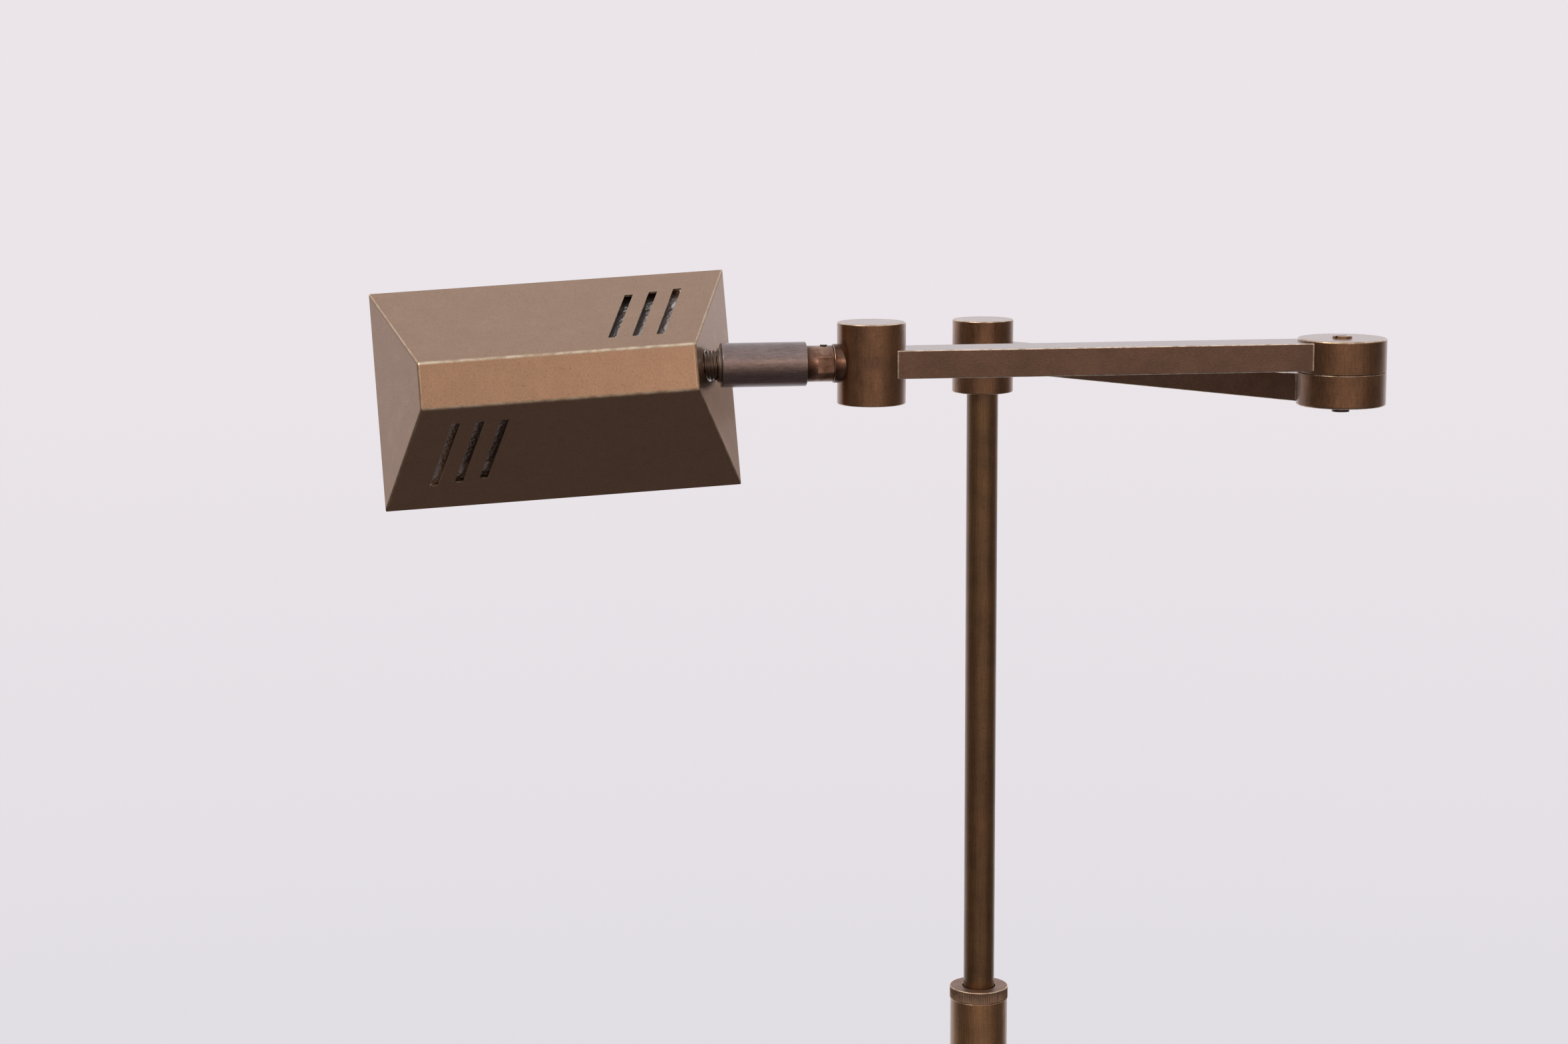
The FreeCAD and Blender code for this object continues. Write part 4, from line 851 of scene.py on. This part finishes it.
vent_cells = set()
near_row = int(np.argmin(np.abs(levels - VENT_NEAR / slant)))
for number, far in enumerate(vent_far):
    column = int(np.argmin(np.abs(columns - vent_edges[2 * number])))
    far_row = int(np.argmin(np.abs(levels - far)))
    vent_cells |= {(row, column) for row in range(near_row, far_row)}
v = levels[:, None]
for half_turn in (1, -1):
    # with a share v of the way from ridge to rim, a column at a runs out by its lean times v, away
    # from the ridge and down in proportion to v; the other side is the same, turned half round
    side_points = np.stack([columns + length_growth * v * lean,
                            RIDGE_HALF_WIDTH + width_growth * v + 0 * columns,
                            -SHADE_DEPTH * v + 0 * columns], -1)
    add_cells(add_points(side_points * [half_turn, half_turn, 1]), vent_cells)
# across the ridge, the columns of one side pass straight over to those of the other
share = np.linspace(-1, 1, 9)[:, None]
ridge_points = np.stack([columns * (1 + share) / 2 - columns[::-1] * (1 - share) / 2,
                         RIDGE_HALF_WIDTH * share + 0 * columns, 0 * share + 0 * columns], -1)
add_cells(add_points(ridge_points))
share = np.linspace(-1, 1, 9)
end_points = np.stack([RIDGE_HALF_LENGTH + length_growth * v + 0 * share,
                       (RIDGE_HALF_WIDTH + width_growth * v) * share,
                       -SHADE_DEPTH * v + 0 * share], -1)
add_cells(add_points(end_points))
# the fixed end has the nipple's entry, a close fit round its thread as seen along the shade
ENTRY_RADIUS = 6.6
ENTRY_Y = -1.7
ENTRY_Z = -12.93
ENTRY_STEPS = 64
mirrored = end_points * [-1, 1, 1]
border = np.concatenate([mirrored[0, :-1], mirrored[:-1, -1], mirrored[-1, :0:-1],
                         mirrored[:0:-1, 0]])
hole_angle = np.linspace(0, 2 * pi, ENTRY_STEPS, endpoint=False)
hole_z = ENTRY_Z + ENTRY_RADIUS * np.sin(hole_angle)
hole = np.stack([-RIDGE_HALF_LENGTH + length_growth / SHADE_DEPTH * hole_z,
                 ENTRY_Y + ENTRY_RADIUS * np.cos(hole_angle), hole_z], -1)
border_numbers, hole_numbers = add_points(border), add_points(hole)
shell = bmesh.new()
corners = [shell.verts.new(point) for point in np.concatenate(points)]
for face in faces:
    shell.faces.new([corners[i] for i in face])
rings = [shell.edges.new((corners[ring[i - 1]], corners[ring[i]]))
         for ring in (border_numbers, hole_numbers) for i in range(len(ring))]
bmesh.ops.triangle_fill(shell, use_beauty=True, use_dissolve=False, edges=rings)
bmesh.ops.remove_doubles(shell, verts=shell.verts, dist=1e-4)
bmesh.ops.recalc_face_normals(shell, faces=shell.faces)
on_ridge = next(face for face in shell.faces if abs(face.calc_center_median().z) < 1e-3)
if on_ridge.normal.z < 0:
    bmesh.ops.reverse_faces(shell, faces=shell.faces)
shade_mesh = bpy.data.meshes.new("shade_shell")
shell.to_mesh(shade_mesh)
shell.free()
shade = add_object("shade_trough", shade_mesh)


def apply_modifiers(piece):
    """Replaces a piece's mesh by what its modifiers make of it."""
    bpy.context.view_layer.update()
    made = bpy.data.meshes.new_from_object(piece.evaluated_get(
        bpy.context.evaluated_depsgraph_get()))
    piece.modifiers.clear()
    piece.data = made


wall = shade.modifiers.new("sheet", "SOLIDIFY")
wall.thickness = SHEET
wall.offset = -1.0
wall.use_even_offset = True
wall.use_quality_normals = True
apply_modifiers(shade)


def points_of(mesh):
    """The mesh's points as an array of rows (x, y, z)."""
    co = np.zeros(len(mesh.vertices) * 3, np.float32)
    mesh.vertices.foreach_get("co", co)
    return co.reshape(-1, 3)


# the rim is cut level: what the slanting walls leave below it slides back up their slope
co = points_of(shade.data)
below = np.clip(-SHADE_DEPTH - co[:, 2], 0, None)
RIM_REACH = 2.5
near_side = np.abs(co[:, 1]) > OPEN_HALF_WIDTH - RIM_REACH
near_end = np.abs(co[:, 0]) > OPEN_HALF_LENGTH - RIM_REACH
co[:, 1] -= near_side * np.sign(co[:, 1]) * below * width_growth / SHADE_DEPTH
co[:, 0] -= near_end * np.sign(co[:, 0]) * below * length_growth / SHADE_DEPTH
co[:, 2] += below
shade.data.vertices.foreach_set("co", co.reshape(-1))

# the five outer faces as planes n.p = c, used to tell the outside from the inside and the cuts
side_normal = np.array([0, SHADE_DEPTH, width_growth]) / np.hypot(SHADE_DEPTH, width_growth)
end_normal = np.array([SHADE_DEPTH, 0, length_growth]) / np.hypot(SHADE_DEPTH, length_growth)
planes = [(np.array([0, 0, 1.0]), 0.0)]
for sign in (1, -1):
    planes.append((side_normal * [1, sign, 1], side_normal[1] * RIDGE_HALF_WIDTH))
    planes.append((end_normal * [sign, 1, 1], end_normal[0] * RIDGE_HALF_LENGTH))
shell = bmesh.new()
shell.from_mesh(shade.data)
weight = shell.edges.layers.float.new("bevel_weight_edge")


def is_outside(face):
    """Whether a face lies in one of the outer planes."""
    middle, normal = np.array(face.calc_center_median()), np.array(face.normal)
    return any(abs(n @ middle - c) < 0.02 and n @ normal > 0.99 for n, c in planes)


outside = {face.index: is_outside(face) for face in shell.faces}
for edge in shell.edges:
    if len(edge.link_faces) == 2 and edge.calc_face_angle(0) > radians(15):
        sides = [outside[face.index] for face in edge.link_faces]
        edge[weight] = 1.0 if all(sides) else (RIM_ROUND / CORNER_ROUND if any(sides) else 0.0)
shell.to_mesh(shade.data)
shell.free()
rounding = shade.modifiers.new("dressed_corners", "BEVEL")
rounding.limit_method = "WEIGHT"
rounding.width = CORNER_ROUND
rounding.segments = 5
rounding.harden_normals = True
shade.data.shade_smooth()
apply_modifiers(shade)

# wear: bare brass in the middle of each rounded corner, and a thinner touch on rim and vents
co = points_of(shade.data)
gaps = np.stack([c - co @ n for n, c in planes], -1)
nearest = np.sort(gaps, -1)
corner_wear = np.clip(1.3 - np.abs(nearest[:, 1]) / (0.42 * CORNER_ROUND), 0, 1)
corner_wear = corner_wear * (np.abs(nearest[:, 0]) > 0.01)
in_cut = (np.abs(nearest[:, 0]) > 0.01) & (nearest[:, 0] < 0.12) & (nearest[:, 1] > 1.2)
attribute = shade.data.attributes.new("wear", "FLOAT", "POINT")
attribute.data.foreach_set("value", np.maximum(corner_wear, 0.5 * in_cut).astype(np.float32))
shade.data.transform(shade_place @ Matrix.Scale(MM, 4))
shade_brass = patinated_brass("patinated_brass_sheet", "#A58365", "#7E6148", "#FBEAC8",
                              mottle=0.16, streaks=0.07)
finish_piece(shade, shade_brass, "head", "aged_brass", "shade")

# ------------------------ inside the shade
# A steel bracket under the ridge, blackened and dark also as painted shade, carries the nipple
# and a folded reflector of hammered aluminium, whose shallow dimples, about 1.5 mm across, glint
# one by one.
hammered, tree, shader, place = new_material("hammered_aluminium")
dimples = add_node(tree, "TexVoronoi", Vector=place, Scale=700.0)
haze = add_node(tree, "TexNoise", Vector=place, Scale=300.0, Detail=4.0)
haze_tone = add_node(tree, "MixRGB", None, haze, linear("#D8D5CF"), linear("#B4B0AA"))
tree.links.new(haze_tone.outputs[0], shader.inputs["Base Color"])
shader.inputs["Metallic"].default_value = 1.0
shader.inputs["Roughness"].default_value = 0.3
dent = add_node(tree, "Bump", Strength=0.6, Distance=0.0002, Height=dimples.outputs["Distance"])
tree.links.new(dent.outputs[0], shader.inputs["Normal"])
REFLECTOR_SHEET = 0.5
REFLECTOR_HALF_LENGTH = 56.0
NOTCH_END = -46.0
NOTCH_HALF = 11.5
# half of the fold, from the middle out: flat foot, sloping wall, and a lip that follows the shade
half_fold = np.array([(0, -2.5), (3.5, -2.5), (6.6, -2.5), (7.3, -2.8), (11.5, -7.93), (20, -18.2),
                      (29.2, -29.3), (30.2, -30.25), (36, -34.0), (43.0, -38.6)])
fold = np.concatenate([half_fold[:0:-1] * [-1, 1], half_fold])
stations = np.array([-REFLECTOR_HALF_LENGTH, NOTCH_END, -30, -10, 10, 30, REFLECTOR_HALF_LENGTH])
grid = np.stack(np.broadcast_arrays(stations[:, None], fold[:, 0], fold[:, 1]), -1)
index = np.arange(grid.shape[0] * grid.shape[1]).reshape(grid.shape[:2])
reflector_faces = [[index[i, j], index[i + 1, j], index[i + 1, j + 1], index[i, j + 1]]
                   for i in range(len(stations) - 1) for j in range(len(fold) - 1)
                   if i > 0 or abs(fold[j, 0] + fold[j + 1, 0]) / 2 > NOTCH_HALF]
reflector_mesh = bpy.data.meshes.new("folded_reflector")
reflector_mesh.from_pydata(grid.reshape(-1, 3).tolist(), [], reflector_faces)
reflector = add_object("folded_reflector", reflector_mesh)
shell = bmesh.new()
shell.from_mesh(reflector_mesh)
loose = [vert for vert in shell.verts if not vert.link_faces]
bmesh.ops.delete(shell, geom=loose, context="VERTS")
shell.to_mesh(reflector_mesh)
shell.free()
sheet = reflector.modifiers.new("sheet", "SOLIDIFY")
sheet.thickness = REFLECTOR_SHEET
sheet.offset = -1.0
sheet.use_even_offset = True
apply_modifiers(reflector)
reflector.data.transform(shade_place @ Matrix.Scale(MM, 4))
finish_piece(smooth(reflector, 20), hammered, "head", "stucco_aluminium", "reflector")
# the brackets' black is also painted shade, for the dark inside seen through the nipple's entry
paint(black_steel_and_painted_shade, "shade_bracket", "holder_bracket")
paint(zinc_steel, "holder_nut", "reflector_screws")

# ------------------------ lampholder and lamp
# A holder moulded in glossy black thermoset, with a brass screw shell, and a small clear tubular
# lamp on its axis.

# the moulding mirrors softly, and the pressed cap is a bright pale metal
black_moulding = plain_finish("moulded_black_thermoset", "#121110", "#1D1B19", 500.0, 0.25,
                              bump=0.00003)
bright_cap = plain_finish("pressed_aluminium_cap", "#B9B9B6", "#A3A3A1", 900.0, 0.28,
                          metallic=1.0, bump=0.00003)
paint(black_moulding, "lampholder")
paint(raw_brass, "lampholder_shell")
paint(bright_cap, "lamp_cap")
# blown glass is clear and faintly rippled, so what is behind it bends a little
clear_glass, tree, shader, place = new_material("blown_clear_glass")
ripple = add_node(tree, "TexNoise", Vector=place, Scale=60.0, Detail=1.0)
waves = add_node(tree, "Bump", Strength=0.1, Distance=0.0002, Height=ripple)
tree.links.new(waves.outputs[0], shader.inputs["Normal"])
shader.inputs["Base Color"].default_value = linear("#F4F6F6")
shader.inputs["Roughness"].default_value = 0.02
shader.inputs["IOR"].default_value = 1.5
shader.inputs["Transmission Weight"].default_value = 1.0
paint(clear_glass, "lamp_filament_stem", "lamp_glass")
